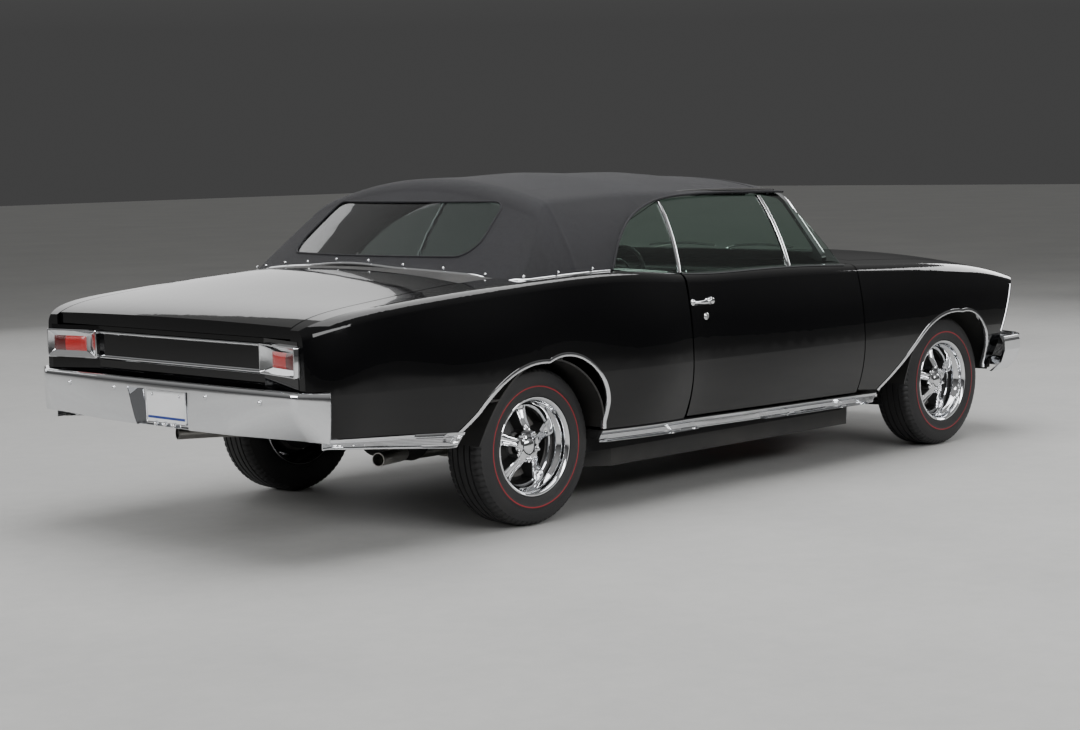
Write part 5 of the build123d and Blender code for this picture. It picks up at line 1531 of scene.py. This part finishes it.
def make_door_cards():
    """Board, armrest, crank, lever and strips of each door."""
    for name, side in SIDES.items():
        card = Shape(f"door_card_{name}", "seat_vinyl", "chrome", "floor_carpet")
        x, z = np.meshgrid(np.linspace(-0.385, 0.795, 300), np.linspace(0.922, 0.398, 66),
                           indexing="ij")
        face = np.stack([x, side * (DOOR_WALL_Y - 0.001 - card_relief(x, z)), z], -1)
        back = np.stack([x, np.full(x.shape, side * (DOOR_WALL_Y + 0.001)), z], -1)[:, [-1, 0]]
        carpet = np.pad(np.where(z[:-1, 1:] < 0.500, 2, 0), ((0, 0), (0, 3)))
        card.grid(np.concatenate([face, back], axis=1), carpet, ring_v=True, cap_u=True)
        for low, high in ((0.500, 0.507), (0.595, 0.601), (0.834, 0.840)):
            slab(card, (-0.372, side * 0.785 - 0.004, low), (0.782, side * 0.785 + 0.004, high), 1,
                 0.0015)
        rest = [(0.0, 0.622), (0.030, 0.628), (0.066, 0.668), (0.072, 0.700), (0.060, 0.712),
                (0.0, 0.716)]
        armrest(card, side, rest, -0.110, 0.235, 24, np.array([0.03, 0.672]), 0.7885)
        for spot, turn, length in (((0.330, 0.610), 2.1, 0.100), ((0.520, 0.800), 2.6, 0.062)):
            centre = np.array([spot[0], side * 0.782, spot[1]])
            dome(card, centre, (0, -side, 0), 0.019, 0.016, 1)
            end = centre + [length * np.cos(turn), -side * 0.026, -length * np.sin(turn) * 0.9]
            arm = along([centre + [0, -side * 0.014, 0], end], 10)
            card.bar(arm, circle(0.006, 10, 0.55), (0, 1, 0), 1)
            dome(card, end, (0, -side, 0), 0.012, 0.024, 1)
        lever = along([(0.395, side * 0.772, 0.800), (0.330, side * 0.758, 0.798),
                       (0.300, side * 0.752, 0.792)], 12)
        dome(card, (0.395, side * 0.783, 0.800), (0, -side, 0), 0.020, 0.012, 1)
        card.bar(lever, circle(0.0065, 10, 0.6), (0, 1, 0), 1)
        card.make(f"door_{name}", angle=30)
        button = Shape(f"door_lock_button_{name}", "chrome")
        dome(button, (-0.300, side * 0.812, 0.962), (0, 0, 1), 0.0055, 0.018)
        button.make(f"door_{name}")


make_door_cards()

# %% [markdown]
# Beside the rear seat, a trim panel hides the wheelhouse and the well that the top folds into. It
# curves outwards to the door pillar in plan, and has a rolled top edge and an armrest. Its face is
# a sheet that starts level with the bench's pan, closed by a flat back.

# %% Rear side panels
def make_side_panels():
    """A plan line carried up from 0.415 m, with a ledge along its top, pleats and two seams."""
    for name, side in SIDES.items():
        panel = Shape(f"rear_side_panel_{name}", "seat_vinyl", "chrome")
        plan = bend([(-1.155, 0.606), (-0.80, 0.606), (-0.600, 0.612), (-0.500, 0.720),
                     (-0.418, 0.786)], 90)
        levels = np.concatenate([np.linspace(0.415, 0.860, 40), [0.872, 0.880, 0.884, 0.884]])
        out = np.concatenate([np.zeros(40), [0.001, 0.006, 0.016, 0.060]])
        x = np.broadcast_to(plan[:, :1], (90, 44))
        z = np.broadcast_to(levels, (90, 44))
        seam = groove(z - 0.56, 0.003, 0.004) + groove(z - 0.79, 0.003, 0.004)
        relief = np.where((z > 0.56) & (z < 0.79), ribs(x), 0) - seam
        outer = np.minimum(plan[:, 1:] + out[None] - relief, 0.789)
        face = np.stack([x, side * outer, z], -1)
        back_y = np.minimum(np.column_stack([outer[:, -1], plan[:, 1] + 0.012]), 0.789) + 0.0005
        back_z = np.broadcast_to([0.878, 0.415], (90, 2))
        back = np.stack([x[:, :2], side * back_y, back_z], -1)
        panel.grid(np.concatenate([face, back], axis=1), 0, ring_v=True, cap_u=True)
        rest = [(0.0, 0.600), (0.024, 0.605), (0.050, 0.640), (0.054, 0.668), (0.044, 0.680),
                (0.0, 0.684)]
        armrest(panel, side, rest, -0.96, -0.66, 20, np.array([0.022, 0.640]), 0.607)
        strip = np.column_stack([plan[:, 0], side * (plan[:, 1] - 0.004), np.full(90, 0.842)])
        panel.bar(strip, circle(0.0035, 8), (0, 0, 1), 1)
        panel.make("root", angle=30)


make_side_panels()

# %% [markdown]
# The dashboard has a padded roll along its top edge, a wide instrument panel with two large dials
# and three small ones in front of the driver, a radio in the middle and a glove box door at the
# right. Dial faces are blank: rings, ticks and needles only.

# %% Dashboard
DASH_NORMAL = np.array([-0.970, 0.0, -0.243])
DASH_DOWN = np.array([0.243, 0.0, -0.970])
DASH_TOP = np.array([0.690, 0.0, 0.880])
ACROSS = np.array([0, 1.0, 0])


def on_dash(y, down, out=0.0):
    """A point on the dash's face: down is the way along the face from its top edge."""
    return DASH_TOP + DASH_DOWN * down + DASH_NORMAL * out + ACROSS * y


def dash_slab(dash, place, half_u, half_v, thick, finish, corner):
    """A rounded plate on the dash's face, at an on_dash place."""
    rounded_slab(dash, on_dash(*place), half_u, half_v, thick, DASH_NORMAL, ACROSS, finish, corner)


def make_dial(dash, centre, size):
    """A ring, a black face, nine ticks, a needle and its cap."""
    bezel = [(1, -0.001), (1, 0.006), (0.93, 0.008), (0.88, 0.006), (0.86, 0.001)]
    disc_on(dash, centre, DASH_NORMAL, np.array(bezel) * [size, 1], 1)
    disc_on(dash, centre, DASH_NORMAL, [(size * 0.86, 0.001), (0.0005, 0.001)], 2)

    def hand(turn, lift, near, far, thick, finish):
        way = DASH_DOWN * -np.cos(turn) + ACROSS * np.sin(turn)
        ends = centre + DASH_NORMAL * lift + way * size * np.array([[near], [far]])
        dash.bar(ends, circle(thick, 4), DASH_NORMAL, finish)

    for tick in np.linspace(-2.2, 2.2, 9):
        hand(tick, 0.0016, 0.68, 0.82, 0.0007, 3)
    hand(-2.0, 0.003, -0.1, 0.72, 0.0009, 4)
    dome(dash, centre + DASH_NORMAL * 0.001, DASH_NORMAL, size * 0.10, 0.004, 1, 10)


def make_dashboard():
    """Roll, instrument panel, radio, glove box and knobs."""
    dash = Shape("dashboard_trim", "seat_vinyl", "chrome", "near_black_and_painted_shade", "plate_white", "red_line")
    roll = softened([(-0.016, -0.026), (0.012, -0.030), (0.052, 0.010), (0.060, 0.030),
                     (0.010, 0.034), (-0.020, 0.010)], 2)
    y = np.linspace(-0.728, 0.728, 50)[:, None]
    rows = np.broadcast_arrays(0.690 + roll[None, :, 0], y, 0.890 + roll[None, :, 1])
    dash.grid(np.stack(rows, -1), 0, ring_v=True, cap_u=True)
    dash_slab(dash, (0.370, 0.085), 0.215, 0.052, 0.010, 2, 0.02)
    frame_ring = box_ring(-0.218, 0.218, -0.055, 0.055, 0.022, 6)
    dash.bar(np.array([on_dash(0.370 + u, 0.085 - v, 0.009) for u, v in frame_ring]),
             circle(0.0045, 8), DASH_NORMAL, 1, ring=True)
    dials = [(-0.140, 0.040), (-0.045, 0.040), (0.040, 0.022), (0.095, 0.022), (0.150, 0.022)]
    for shift, size in dials:
        make_dial(dash, on_dash(0.370 + shift, 0.085, 0.010), size)
    dash_slab(dash, (0.0, 0.085), 0.092, 0.030, 0.008, 1, 0.006)
    dash_slab(dash, (0.0, 0.085, 0.008), 0.058, 0.016, 0.002, 2, 0.003)
    for shift in (-0.074, 0.074):
        dome(dash, on_dash(shift, 0.085, 0.008), DASH_NORMAL, 0.012, 0.018, 1)
    dash_slab(dash, (-0.400, 0.090), 0.190, 0.056, 0.006, 0, 0.012)
    dash_slab(dash, (-0.400, 0.040, 0.001), 0.190, 0.006, 0.008, 1, 0.002)
    dome(dash, on_dash(-0.400, 0.062, 0.006), DASH_NORMAL, 0.010, 0.008, 1)
    for y in (0.130, 0.165, 0.560, 0.600, -0.150):
        dome(dash, on_dash(y, 0.120), DASH_NORMAL, 0.009, 0.022, 1)
    dash.make("root")


make_dashboard()

# %% [markdown]
# The wheel has a thin black rim with a bright horn ring inside it and a round hub cap without any
# mark. The column carries the turn lever on its left.

# %% Steering wheel
WHEEL_AT = np.array([0.533, 0.370, 0.844])
WHEEL_TILT = np.radians(112)
WHEEL_AXIS = np.array([-np.sin(WHEEL_TILT), 0, -np.cos(WHEEL_TILT)])
WHEEL_UP = np.array([WHEEL_AXIS[2], 0, -WHEEL_AXIS[0]])
WHEEL_SPOKES = [32, 53, 11]     # places of the three spokes among the 64 points round the wheel


def make_wheel_trim():
    """Horn ring, hub cap and spoke plates on the wheel; the lever on the column."""
    trim = Shape("steering_wheel_trim", "chrome", "dash_plastic")
    turn = np.arange(64) * 2 * np.pi / 64
    around = np.cos(turn)[:, None] * WHEEL_UP + np.sin(turn)[:, None] * ACROSS
    trim.bar(WHEEL_AT + around * 0.118 + WHEEL_AXIS * 0.018, circle(0.0042, 8), WHEEL_AXIS, 0,
             ring=True)
    disc_on(trim, WHEEL_AT, WHEEL_AXIS,
            [(0.046, 0.012), (0.046, 0.022), (0.040, 0.030), (0.026, 0.036), (0.0005, 0.038)], 0)
    for beam in around[WHEEL_SPOKES]:
        path = along([WHEEL_AT + beam * 0.036 + WHEEL_AXIS * 0.010,
                      WHEEL_AT + beam * 0.120 + WHEEL_AXIS * 0.014], 8)
        trim.bar(path, strap(9, -2, 3), WHEEL_AXIS, 0)
    trim.make("steering_wheel")
    lever = Shape("turn_lever", "chrome", "dash_plastic")
    foot = WHEEL_AT - WHEEL_AXIS * 0.075 + [0, 0.030, 0]
    tip = foot + [-0.020, 0.110, 0.025]
    lever.bar(along([foot, tip], 8), circle(0.004, 8), WHEEL_AXIS, 0)
    dome(lever, tip, tip - foot, 0.0075, 0.016, 1)
    lever.make("root")


make_wheel_trim()

# %% [markdown]
# Between the seats, the console has a bright edge round its top plate, the shift lever stands in a
# slotted gate, and the pedals hang in front of the driver. Mirror and sun visors are held by the
# windshield's header.

# %% Console, pedals, mirror and visors
def make_small_fittings():
    """Console plate with its lever, the two pedals, the mirror and the visors."""
    fittings = Shape("cabin_fittings", "dash_plastic", "chrome", "reflector", "floor_carpet",
                     "headliner")
    slab(fittings, (-0.045, -0.082, 0.519), (0.560, 0.082, 0.526), 0)
    edge = box_ring(-0.050, 0.565, -0.086, 0.086, 0.012)
    ring = np.column_stack([edge, np.full(len(edge), 0.523)])
    fittings.bar(ring, circle(0.0035, 8), (0, 0, 1), 1, ring=True)
    slab(fittings, (0.260, -0.036, 0.525), (0.420, 0.036, 0.531), 1, 0.002)
    slab(fittings, (0.268, -0.012, 0.530), (0.412, 0.012, 0.5325), 0, 0.001)
    stick = bend([(0.345, 0, 0.528), (0.335, 0, 0.590), (0.318, 0, 0.650)], 16)
    fittings.bar(stick, circle(0.0065, 10), (0, 1, 0), 1)
    turn = np.linspace(0.02, np.pi - 0.02, 14)
    ball = np.column_stack([np.sin(turn), -np.cos(turn)]) * 0.021
    disc_on(fittings, (0.315, 0, 0.662), (-0.2, 0, 1), ball, 0, 24)
    pedals = [(0.800, 0.345, 0.425, 0.050, 0.030), (0.830, 0.205, 0.375, 0.024, 0.062)]
    for x, y, z, wide, tall in pedals:
        rounded_slab(fittings, [x, y, z], wide, tall, 0.012, (-0.9, 0, 0.43), ACROSS, 0, 0.008)
        arm = bend([(x + 0.010, y, z), (x + 0.060, y, z + 0.08), (x + 0.120, y, z + 0.24)], 14)
        fittings.bar(arm, circle(0.006, 8, 2.0), (0, 1, 0), 0)
    facing = unit(np.array([-1.0, 0.22, -0.10]))
    mirror = np.array([0.505, -0.033, 1.318])
    rounded_slab(fittings, mirror, 0.118, 0.029, 0.010, facing, ACROSS, 1, 0.012)
    rounded_slab(fittings, mirror + facing * 0.0098, 0.112, 0.024, 0.0012, facing, ACROSS, 2, 0.010)
    rod = bend(mirror + [[0.004, 0, 0.010], [0.045, 0.004, 0.030], [0.090, 0.008, 0.036]], 12)
    fittings.bar(rod, circle(0.0045, 8), (0, 1, 0), 1)
    for side in SIDES.values():
        rounded_slab(fittings, [0.500, side * 0.300, 1.292], 0.165, 0.062, 0.010,
                     (-0.10, 0, -1), ACROSS, 4, 0.02)
        rod = along([(0.564, side * 0.468, 1.288), (0.564, side * 0.140, 1.294)], 6)
        fittings.bar(rod, circle(0.004, 8), (1, 0, 0), 1)
    fittings.make("root")


make_small_fittings()
print("cabin dressed")

# %% [markdown]
# The windshield is bent glass in a bright frame whose top edge follows the roof's arch and whose
# corners are round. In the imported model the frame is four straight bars, which is enough for size
# and contact; the finished one is the same band with its outline drawn as the real one is. Every
# point lies on the glass's own cylinder, whose axis runs along the pillars' slope.

# %% Windshield and its frame
SHIELD_BASE = np.array([0.905, 0.0, 0.972])
SHIELD_TOP = np.array([0.628, 0.0, 1.345])
SHIELD_UP = unit(SHIELD_TOP - SHIELD_BASE)
SHIELD_IN = np.array([-SHIELD_UP[2], 0.0, SHIELD_UP[0]])
SHIELD_R = 3.0
SHIELD_LOW_HALF, SHIELD_HIGH_HALF = 0.738, 0.622


def shield_half(z, wide=SHIELD_LOW_HALF):
    """Half width of the windshield at a height, which falls evenly over 0.373 of height."""
    return wide - (SHIELD_LOW_HALF - SHIELD_HIGH_HALF) * (z - SHIELD_BASE[2]) / 0.373


def shield_sag(y):
    """How far the roof's arch has fallen at y from the middle: 0.062 (y / 0.62)^2."""
    return 0.062 * (y / 0.62) ** 2


def shield_point(y, z, out=0.0):
    """P = base + up * s + in * d, with d = R - sqrt((R + out)^2 - y^2) and s set so that P.z = z."""
    d = SHIELD_R - np.sqrt((SHIELD_R + out) ** 2 - y ** 2)
    s = (z - SHIELD_BASE[2] - SHIELD_IN[2] * d) / SHIELD_UP[2]
    points = SHIELD_BASE + SHIELD_UP * s[..., None] + SHIELD_IN * d[..., None]
    points[..., 1] = y
    return points


def shield_ring(grow, low, corner, count=220):
    """The outline as (y, z): a round-cornered box bent to the half width and to the arch of the
    roof, z = 1.331 - sag at its top, and grown on all sides."""
    ring = box_ring(-1 - grow / 0.68, 1 + grow / 0.68, 0, 0.340, corner, 9)
    ring = along(np.concatenate([ring, ring[:1]]), count + 1)[:-1]
    top = 1.331 + grow - shield_sag(ring[:, 0] * 0.64)
    z = low + ring[:, 1] / 0.340 * (top - low)
    return ring[:, 0] * shield_half(z), z


def make_windshield():
    """The pane, 6 mm thick, and the frame ring round it, which stands 10 mm before the glass."""
    glass = Shape("bent_windshield", "clear_glass")
    v, u = np.linspace(0, 1, 40)[:, None], np.linspace(-1, 1, 80)[None]
    z = 0.985 + v * (1.340 - shield_sag(u * 0.64) - 0.985)
    sheets = [shield_point(u * shield_half(z, 0.744), z, out) for out in (0.0, -0.006)]
    rim = [np.concatenate([s[0], s[1:-1, -1], s[-1, ::-1], s[1:-1, 0][::-1]]) for s in sheets]
    glass.grid(sheets[0])
    glass.grid(sheets[1][:, ::-1])
    glass.grid(np.stack(rim), ring_v=True)
    glass.make("root", ["windshield"])
    frame_shape = Shape("windshield_surround", "chrome", "rubber_seal")
    rings = []
    rows = [
        # grow, bottom edge, forward of the glass, in mm
        (-3, 1003, -22), (-3, 1003, 1), (0, 1000, 9), (5, 995, 11), (19, 972, 11), (25, 962, 8),
        (26, 958, 0), (26, 958, -22),
    ]
    for grow, low, out in rows:
        y, z = shield_ring(grow / 1000, low / 1000, 0.05)
        rings.append(shield_point(y, z, out / 1000))
    frame_shape.grid(np.stack(rings), 0, ring_u=True, ring_v=True)
    y, z = shield_ring(-0.006, 1.006, 0.05)
    seal = shield_point(y, z, 0.002)
    frame_shape.bar(seal, circle(0.004, 8), SHIELD_UP, 1, ring=True)
    frame_shape.make("root", ["windshield_frame"])


make_windshield()

# %% [markdown]
# Where the top meets the windshield, the fabric is glued round a wooden header bow, and a rubber
# lip under it seals against the frame. The strip fills from the cloth's front edge to the frame's
# top edge. At the other end, a bright moulding and a row of round snaps hold the cloth's foot to the
# deck.

# %% Header strip and base moulding
def make_header_strip():
    """A grid between the cloth's front edge and the frame, bowed up by 4 mm in its middle."""
    edge = TOP_GRID[-1][::4]
    y = edge[:, 1] * 0.985
    front = shield_point(y, 1.355 - shield_sag(y), 0.004)
    share = np.linspace(0, 1, 9)[:, None, None]
    sheet = edge + (front - edge) * share
    sheet[..., 2] += 0.004 * np.sin(np.pi * share[..., 0]) + 0.0015
    under = sheet - [0, 0, 0.014]
    strip = Shape("header_strip", "top_cloth", "rubber_seal")
    strip.grid(np.concatenate([sheet, under[::-1]]), 0, ring_u=True, cap_v=True)
    lip = front + [0.004, 0, -0.002]
    strip.bar(lip, circle(0.0065, 10), (0, 0, 1), 1)
    strip.make("root")


def make_base_moulding():
    """The cloth's edge from behind the door windows round the back, with a profile on it."""
    moulding = Shape("top_base_moulding", "chrome")
    near = np.flatnonzero(TOP_GRID[:, 0, 0] < -0.80)
    right, left = TOP_GRID[near, 0][::-1], TOP_GRID[near, -1]
    rear = TOP_GRID[0, 1:-1]
    path = along(np.concatenate([right, rear, left]), 200)
    path = np.stack([np.convolve(np.pad(c, 2, "edge"), np.ones(5) / 5, "valid") for c in path.T], 1)
    away = unit(np.column_stack([np.clip((-1.2 - path[:, 0]) * 2, 0, 1) * -0.6,
                                 path[:, 1], np.full(len(path), 0.55)]))
    profile = softened(np.array([(-8, -2), (8, -2), (7, 3), (0, 5), (-7, 3)]) / 1000, 1)
    moulding.bar(path + away * 0.003, profile, away, 0)
    for spot in np.linspace(8, 191, 14).astype(int):
        dome(moulding, path[spot] + away[spot] * 0.006 + [0, 0, 0.016], away[spot], 0.0055, 0.004)
    moulding.make("root")


make_header_strip()
make_base_moulding()

# %% [markdown]
# Two wipers are parked along the foot of the glass, each an arm from a round pivot on the cowl to
# the middle of a thin blade.

# %% Wipers
def make_wipers():
    """Blade = 400 mm of the glass's own curve 12 mm before it; the arm bends up from the cowl."""
    wipers = Shape("wipers", "satin_steel", "rubber_seal", "chrome")
    cowl = skin_of("firewall")
    for pivot_y in (0.500, -0.030):
        pivot = lay(cowl, 0.945, pivot_y, OVER, (0, 0, -1))[0]
        dome(wipers, pivot, (0.2, 0, 1), 0.016, 0.020, 2)
        y = np.linspace(pivot_y - 0.09, pivot_y - 0.49, 24)
        z = 1.022 + 0.010 * np.sin(np.linspace(0, np.pi, 24))
        blade = shield_point(y, z, 0.018)
        wedge = [(-0.003, -0.008), (0.003, -0.008), (0.0015, 0.004), (-0.0015, 0.004)]
        wipers.bar(blade, wedge, SHIELD_IN, 1)
        wipers.bar(shield_point(y, z, 0.024), circle(0.0035, 6), SHIELD_IN, 0)
        middle = shield_point(y[11:12], z[11:12], 0.030)[0]
        arm = bend([pivot + [0, 0, 0.014], pivot + [-0.005, -0.06, 0.030], middle], 24)
        wipers.bar(arm, circle(0.0050, 8, 0.7), (0, 0, 1), 0)
    wipers.make("root")


make_wipers()
print("windshield, base moulding and wipers on")

# %% [markdown]
# The face of the car: four sealed-beam headlamps in bright rings, thin bright edges on the black
# grille's bars, a bright frame round the whole, and a strip along the leading edge of the hood and
# of each fender. Amber lamps sit in the bumper under it.

# %% Front lamps and grille
def make_headlamps():
    """Each lamp: a bezel ring, a domed lens and a bowl behind it."""
    lamps = Shape("headlamp_units", "chrome", "lamp_clear", "reflector")
    tree = skin_of("headlamps")
    bezel = [(0.069, -0.030), (0.077, -0.010), (0.079, 0.004), (0.076, 0.010), (0.070, 0.010),
             (0.066, 0.004), (0.066, -0.030)]
    bulge = np.linspace(np.pi / 2, 0.02, 12)
    lens = np.column_stack([0.066 * np.sin(bulge), 0.004 + 0.014 * np.cos(bulge)])
    bowl = [(0.066, 0.003), (0.045, -0.020), (0.020, -0.030), (0.0005, -0.032)]
    for side in SIDES.values():
        for y in (0.545, 0.702):
            face = lay(tree, AHEAD, side * y, 0.662, (-1, 0, 0))[0]
            for finish, rows in enumerate((bezel, lens, bowl)):
                disc_on(lamps, face, (1, 0, 0), rows, finish, 48)
    lamps.make("root", ["headlamps"])


def make_grille_trim():
    """Bead along each bar, and a frame strip above, below and in the middle."""
    trim = Shape("grille_trim", "chrome", "satin_steel")
    tree = skin_of("grille")

    def bead(y, z, out, section, finish):
        path = lay(tree, AHEAD, y, z, (-1, 0, 0))
        trim.bar(path + [out, 0, 0], section, (1, 0, 0), finish)

    for row in range(11):
        bead(np.linspace(-0.450, 0.450, 30), 0.5525 + 0.021 * row, 0.001, circle(0.0022, 6), 1)
    for z in (0.549, 0.764):
        bead(np.linspace(-0.790, 0.790, 60), z, 0.003, circle(0.006, 8, 0.8), 0)
    for y in (-0.790, -0.458, 0.458, 0.790):
        bead(y, np.linspace(0.549, 0.764, 16), 0.003, circle(0.005, 8, 0.8), 0)
    trim.make("root")


def make_leading_edges():
    """A strip on the hood's front edge and one down each fender's front edge."""
    hood = Shape("hood_edge_strip", "chrome")
    path = lay(skin_of("hood"), AHEAD, np.linspace(-0.655, 0.655, 70), 0.818, (-1, 0, 0))
    hood.bar(path + [0.0005, 0, 0.002], circle(0.0055, 8, 0.7), (1, 0, 0), 0)
    hood.make("hood")
    fenders = Shape("fender_edge_strips", "chrome")
    line = along([(2.279, 0.768), (2.134, 0.535)], 40)
    for hand, side in SIDES.items():
        path = lay(skin_of(f"front_fender_{hand}"), line[:, 0], side * 1.3, line[:, 1], (0, -side, 0))
        fenders.bar(path + [0, side * 0.001, 0], circle(0.0060, 8, 0.6), (0, 1, 0), 0)
    fenders.make("root")


def make_front_turn_lamps():
    """A rounded amber lens in a bright frame, on the bumper's face at each side."""
    lamps = Shape("front_turn_lamps", "chrome", "orange_lens")
    tree = skin_of("front_bumper")
    for side in SIDES.values():
        spots = lay(tree, AHEAD, side * np.array([0.520, 0.570, 0.620]), 0.440, (-1, 0, 0))
        run = unit(spots[2] - spots[0])
        facing = unit(np.cross(run, [0, 0, 1.0]) * side)
        facing = facing if facing[0] > 0 else -facing
        rounded_slab(lamps, spots[1] - facing * 0.002, 0.070, 0.026, 0.007, facing, run, 0, 0.012)
        rounded_slab(lamps, spots[1] + facing * 0.0045, 0.062, 0.019, 0.003, facing, run, 1, 0.009)
    lamps.make("root")


make_headlamps()
make_grille_trim()
make_leading_edges()
make_front_turn_lamps()
print("front end dressed")

# %% [markdown]
# Under the car, coil springs stand on the axle behind and on the lower arms in front, and a tube
# damper leans beside each rear spring.

# %% Springs and dampers
def make_springs():
    """Helix: r (cos t, sin t) with z rising evenly, the first and last turns flat."""
    springs = Shape("springs_and_dampers", "chassis_black", "satin_steel")
    places = [
        # x, y, radius, low, high, turns, wire
        (-1.272, 0.415, 0.048, 0.366, 0.535, 6.5, 0.0065),
        (1.649, 0.500, 0.050, 0.300, 0.455, 6.5, 0.0070),
    ]
    for x, y, radius, low, high, turns, wire in places:
        for side in SIDES.values():
            turn = np.linspace(0, 2 * np.pi * turns, int(turns * 24))
            rise = np.clip((turn - np.pi) / (2 * np.pi * (turns - 1)), 0, 1)
            path = np.column_stack([x + radius * np.cos(turn), side * y + radius * np.sin(turn),
                                    low + wire + rise * (high - low - 2 * wire)])
            springs.bar(path, circle(wire, 8), (0, 0, 1), 0)
    for side in SIDES.values():
        foot, head = np.array([-1.330, side * 0.520, 0.300]), np.array([-1.455, side * 0.500, 0.560])
        lean = head - foot
        springs.bar(along([foot, foot + lean * 0.55], 4), circle(0.026, 16), (0, 1, 0), 0)
        springs.bar(along([foot + lean * 0.5, head], 4), circle(0.010, 12), (0, 1, 0), 1)
    springs.make("root")


make_springs()

# %% [markdown]
# The rear bumper is pressed steel, plated: a tall face that leans under the car towards its ends,
# a rolled top edge, a crease where each end turns along the body, and a recess for the plate. Its
# face is one profile carried along one plan line, and how far the profile leans is read from the
# plan: a little at the middle, most just before the crease, nothing at the very end.

# %% Rear bumper
BUMPER_PLAN = np.array([(-2.5020, 0.0), (-2.4995, 0.420), (-2.4910, 0.800), (-2.4830, 0.822),
                        (-2.4160, 0.931)])
BUMPER_END = BUMPER_PLAN[-1, 1]
BUMPER_PROFILE = np.array([
    # height, how far the face stands back, how far the edge is rolled in, inward tuck, in mm
    (478, 26, 14, 10), (470, 26, 11, 10), (468, 26, 6, 10), (470, 25, 1, 10), (478, 23, 0, 9),
    (500, 16, 0, 6), (530, 10.5, 0, 4), (560, 6, 0, 2), (590, 2.5, 0, 1), (618, 0.4, 0, 0),
    (634, 0, 0, 0), (643, 0, 1.5, 0), (649, 0, 5, 0), (653, 0, 11, 0), (654, 0, 18, 0),
    (654, 0, 34, 0),
])


def bumper_face(y, row):
    """x = plan(y) + back * lean(y) + roll, and round the end the roll turns towards the middle."""
    z, back, roll, tuck = row / 1000
    lean = np.interp(y, [0, 0.42, 0.80, BUMPER_END], [0.4, 0.8, 2.6, 0.0])
    turned_in = np.clip((y - 0.800) / 0.040, 0, 1)
    x = np.interp(y, BUMPER_PLAN[:, 1], BUMPER_PLAN[:, 0]) + back * lean
    x = x + roll * (1 - 0.35 * turned_in)
    inward = tuck * y / BUMPER_END + 0.75 * roll * turned_in
    return np.stack([x, y - inward, np.full(len(y), z)], -1)


def plate(shape, sheet, shift):
    """A sheet of points and its copy a shift away, closed all round."""
    both = np.concatenate([sheet, (sheet + shift)[:, ::-1]], axis=1)
    shape.grid(both, 0, ring_v=True, cap_u=True)


WALL = np.array([0.004, 0, 0])      # the pressing's thickness, forwards
RECESS_X = -2.462                   # back wall of the recess for the plate


def drawn_in(rim):
    """A wall of six rows from the rim of the recess straight to its back."""
    rim = rim + [0.0003, 0, 0]
    deep = rim * [0, 1, 1] + [RECESS_X, 0, 0]
    return rim + (deep - rim) * np.linspace(0, 1, 6)[:, None, None]


def make_rear_bumper():
    """Two wings from the recess to the ends, a bridge over the recess, and the recess's walls."""
    bumper = Shape("plated_rear_bumper", "chrome", "chassis_black")
    share = np.linspace(0, 1, 90) ** 0.9
    near = np.interp(BUMPER_PROFILE[:, 0], [470, 618], [0.172, 0.205])
    for side in SIDES.values():
        outer = np.stack([bumper_face(start + (BUMPER_END - start) * share, row) * [1, side, 1]
                          for start, row in zip(near, BUMPER_PROFILE)])
        bumper.grid(np.concatenate([outer, (outer + WALL)[::-1]]), 0, ring_u=True, cap_v=True)
        plate(bumper, drawn_in(outer[1:10, 0]), [0, side * 0.003, 0])
    y = np.linspace(-0.205, 0.205, 40)
    bridge = np.stack([bumper_face(np.abs(y), row) * [1, 0, 1] + np.column_stack(
        [np.zeros(40), y, np.zeros(40)]) for row in BUMPER_PROFILE[9:]])
    bumper.grid(np.concatenate([bridge, (bridge + WALL)[::-1]]), 0, ring_u=True, cap_v=True)
    plate(bumper, drawn_in(bridge[0]), [0, 0, 0.003])
    foot = [(RECESS_X, -0.172, 0.470), (RECESS_X, 0.172, 0.470)]
    back = np.array([foot, [(RECESS_X, -0.206, 0.621), (RECESS_X, 0.206, 0.621)]])
    plate(bumper, back, [0.003, 0, 0])
    floor_edge = np.array([foot, [(-2.480, -0.170, 0.470), (-2.480, 0.170, 0.470)]])
    plate(bumper, floor_edge, [0, 0, 0.002])
    for side in SIDES.values():
        slab(bumper, (-2.464, side * 0.505 - 0.032, 0.500), (-2.432, side * 0.505 + 0.032, 0.545), 1)
    bumper.make("root", ["rear_bumper"], angle=30)


make_rear_bumper()
print("rear bumper plated")

# %% [markdown]
# The floor is one large plane under everything. It and the lights aren't part of the car.

# %% Floor
def make_floor():
    """A pale floor, z = 0, a little uneven in tone like sealed concrete."""
    stage = Finish("pale_floor")
    slow = stage.noise(0.7, 6.0, 0.6)
    fine = stage.noise(9.0, 6.0, 0.65)
    tone = slow.between(0.3, 0.75) * 0.6 + fine.between(0.35, 0.7) * 0.25
    stage.feed("Base Color", stage.mix(tone, colour(0.36, 0.36, 0.355), colour(0.47, 0.467, 0.455)))
    stage.feed("Roughness", 0.55 + slow * 0.25)
    reach = 60.0
    plane = bpy.data.meshes.new("floor")
    plane.from_pydata([(-reach, -reach, 0), (reach, -reach, 0), (reach, reach, 0),
                       (-reach, reach, 0)], [], [(0, 1, 2, 3)])
    plane.materials.append(stage.material)
    floor = placed("floor", plane)


make_floor()
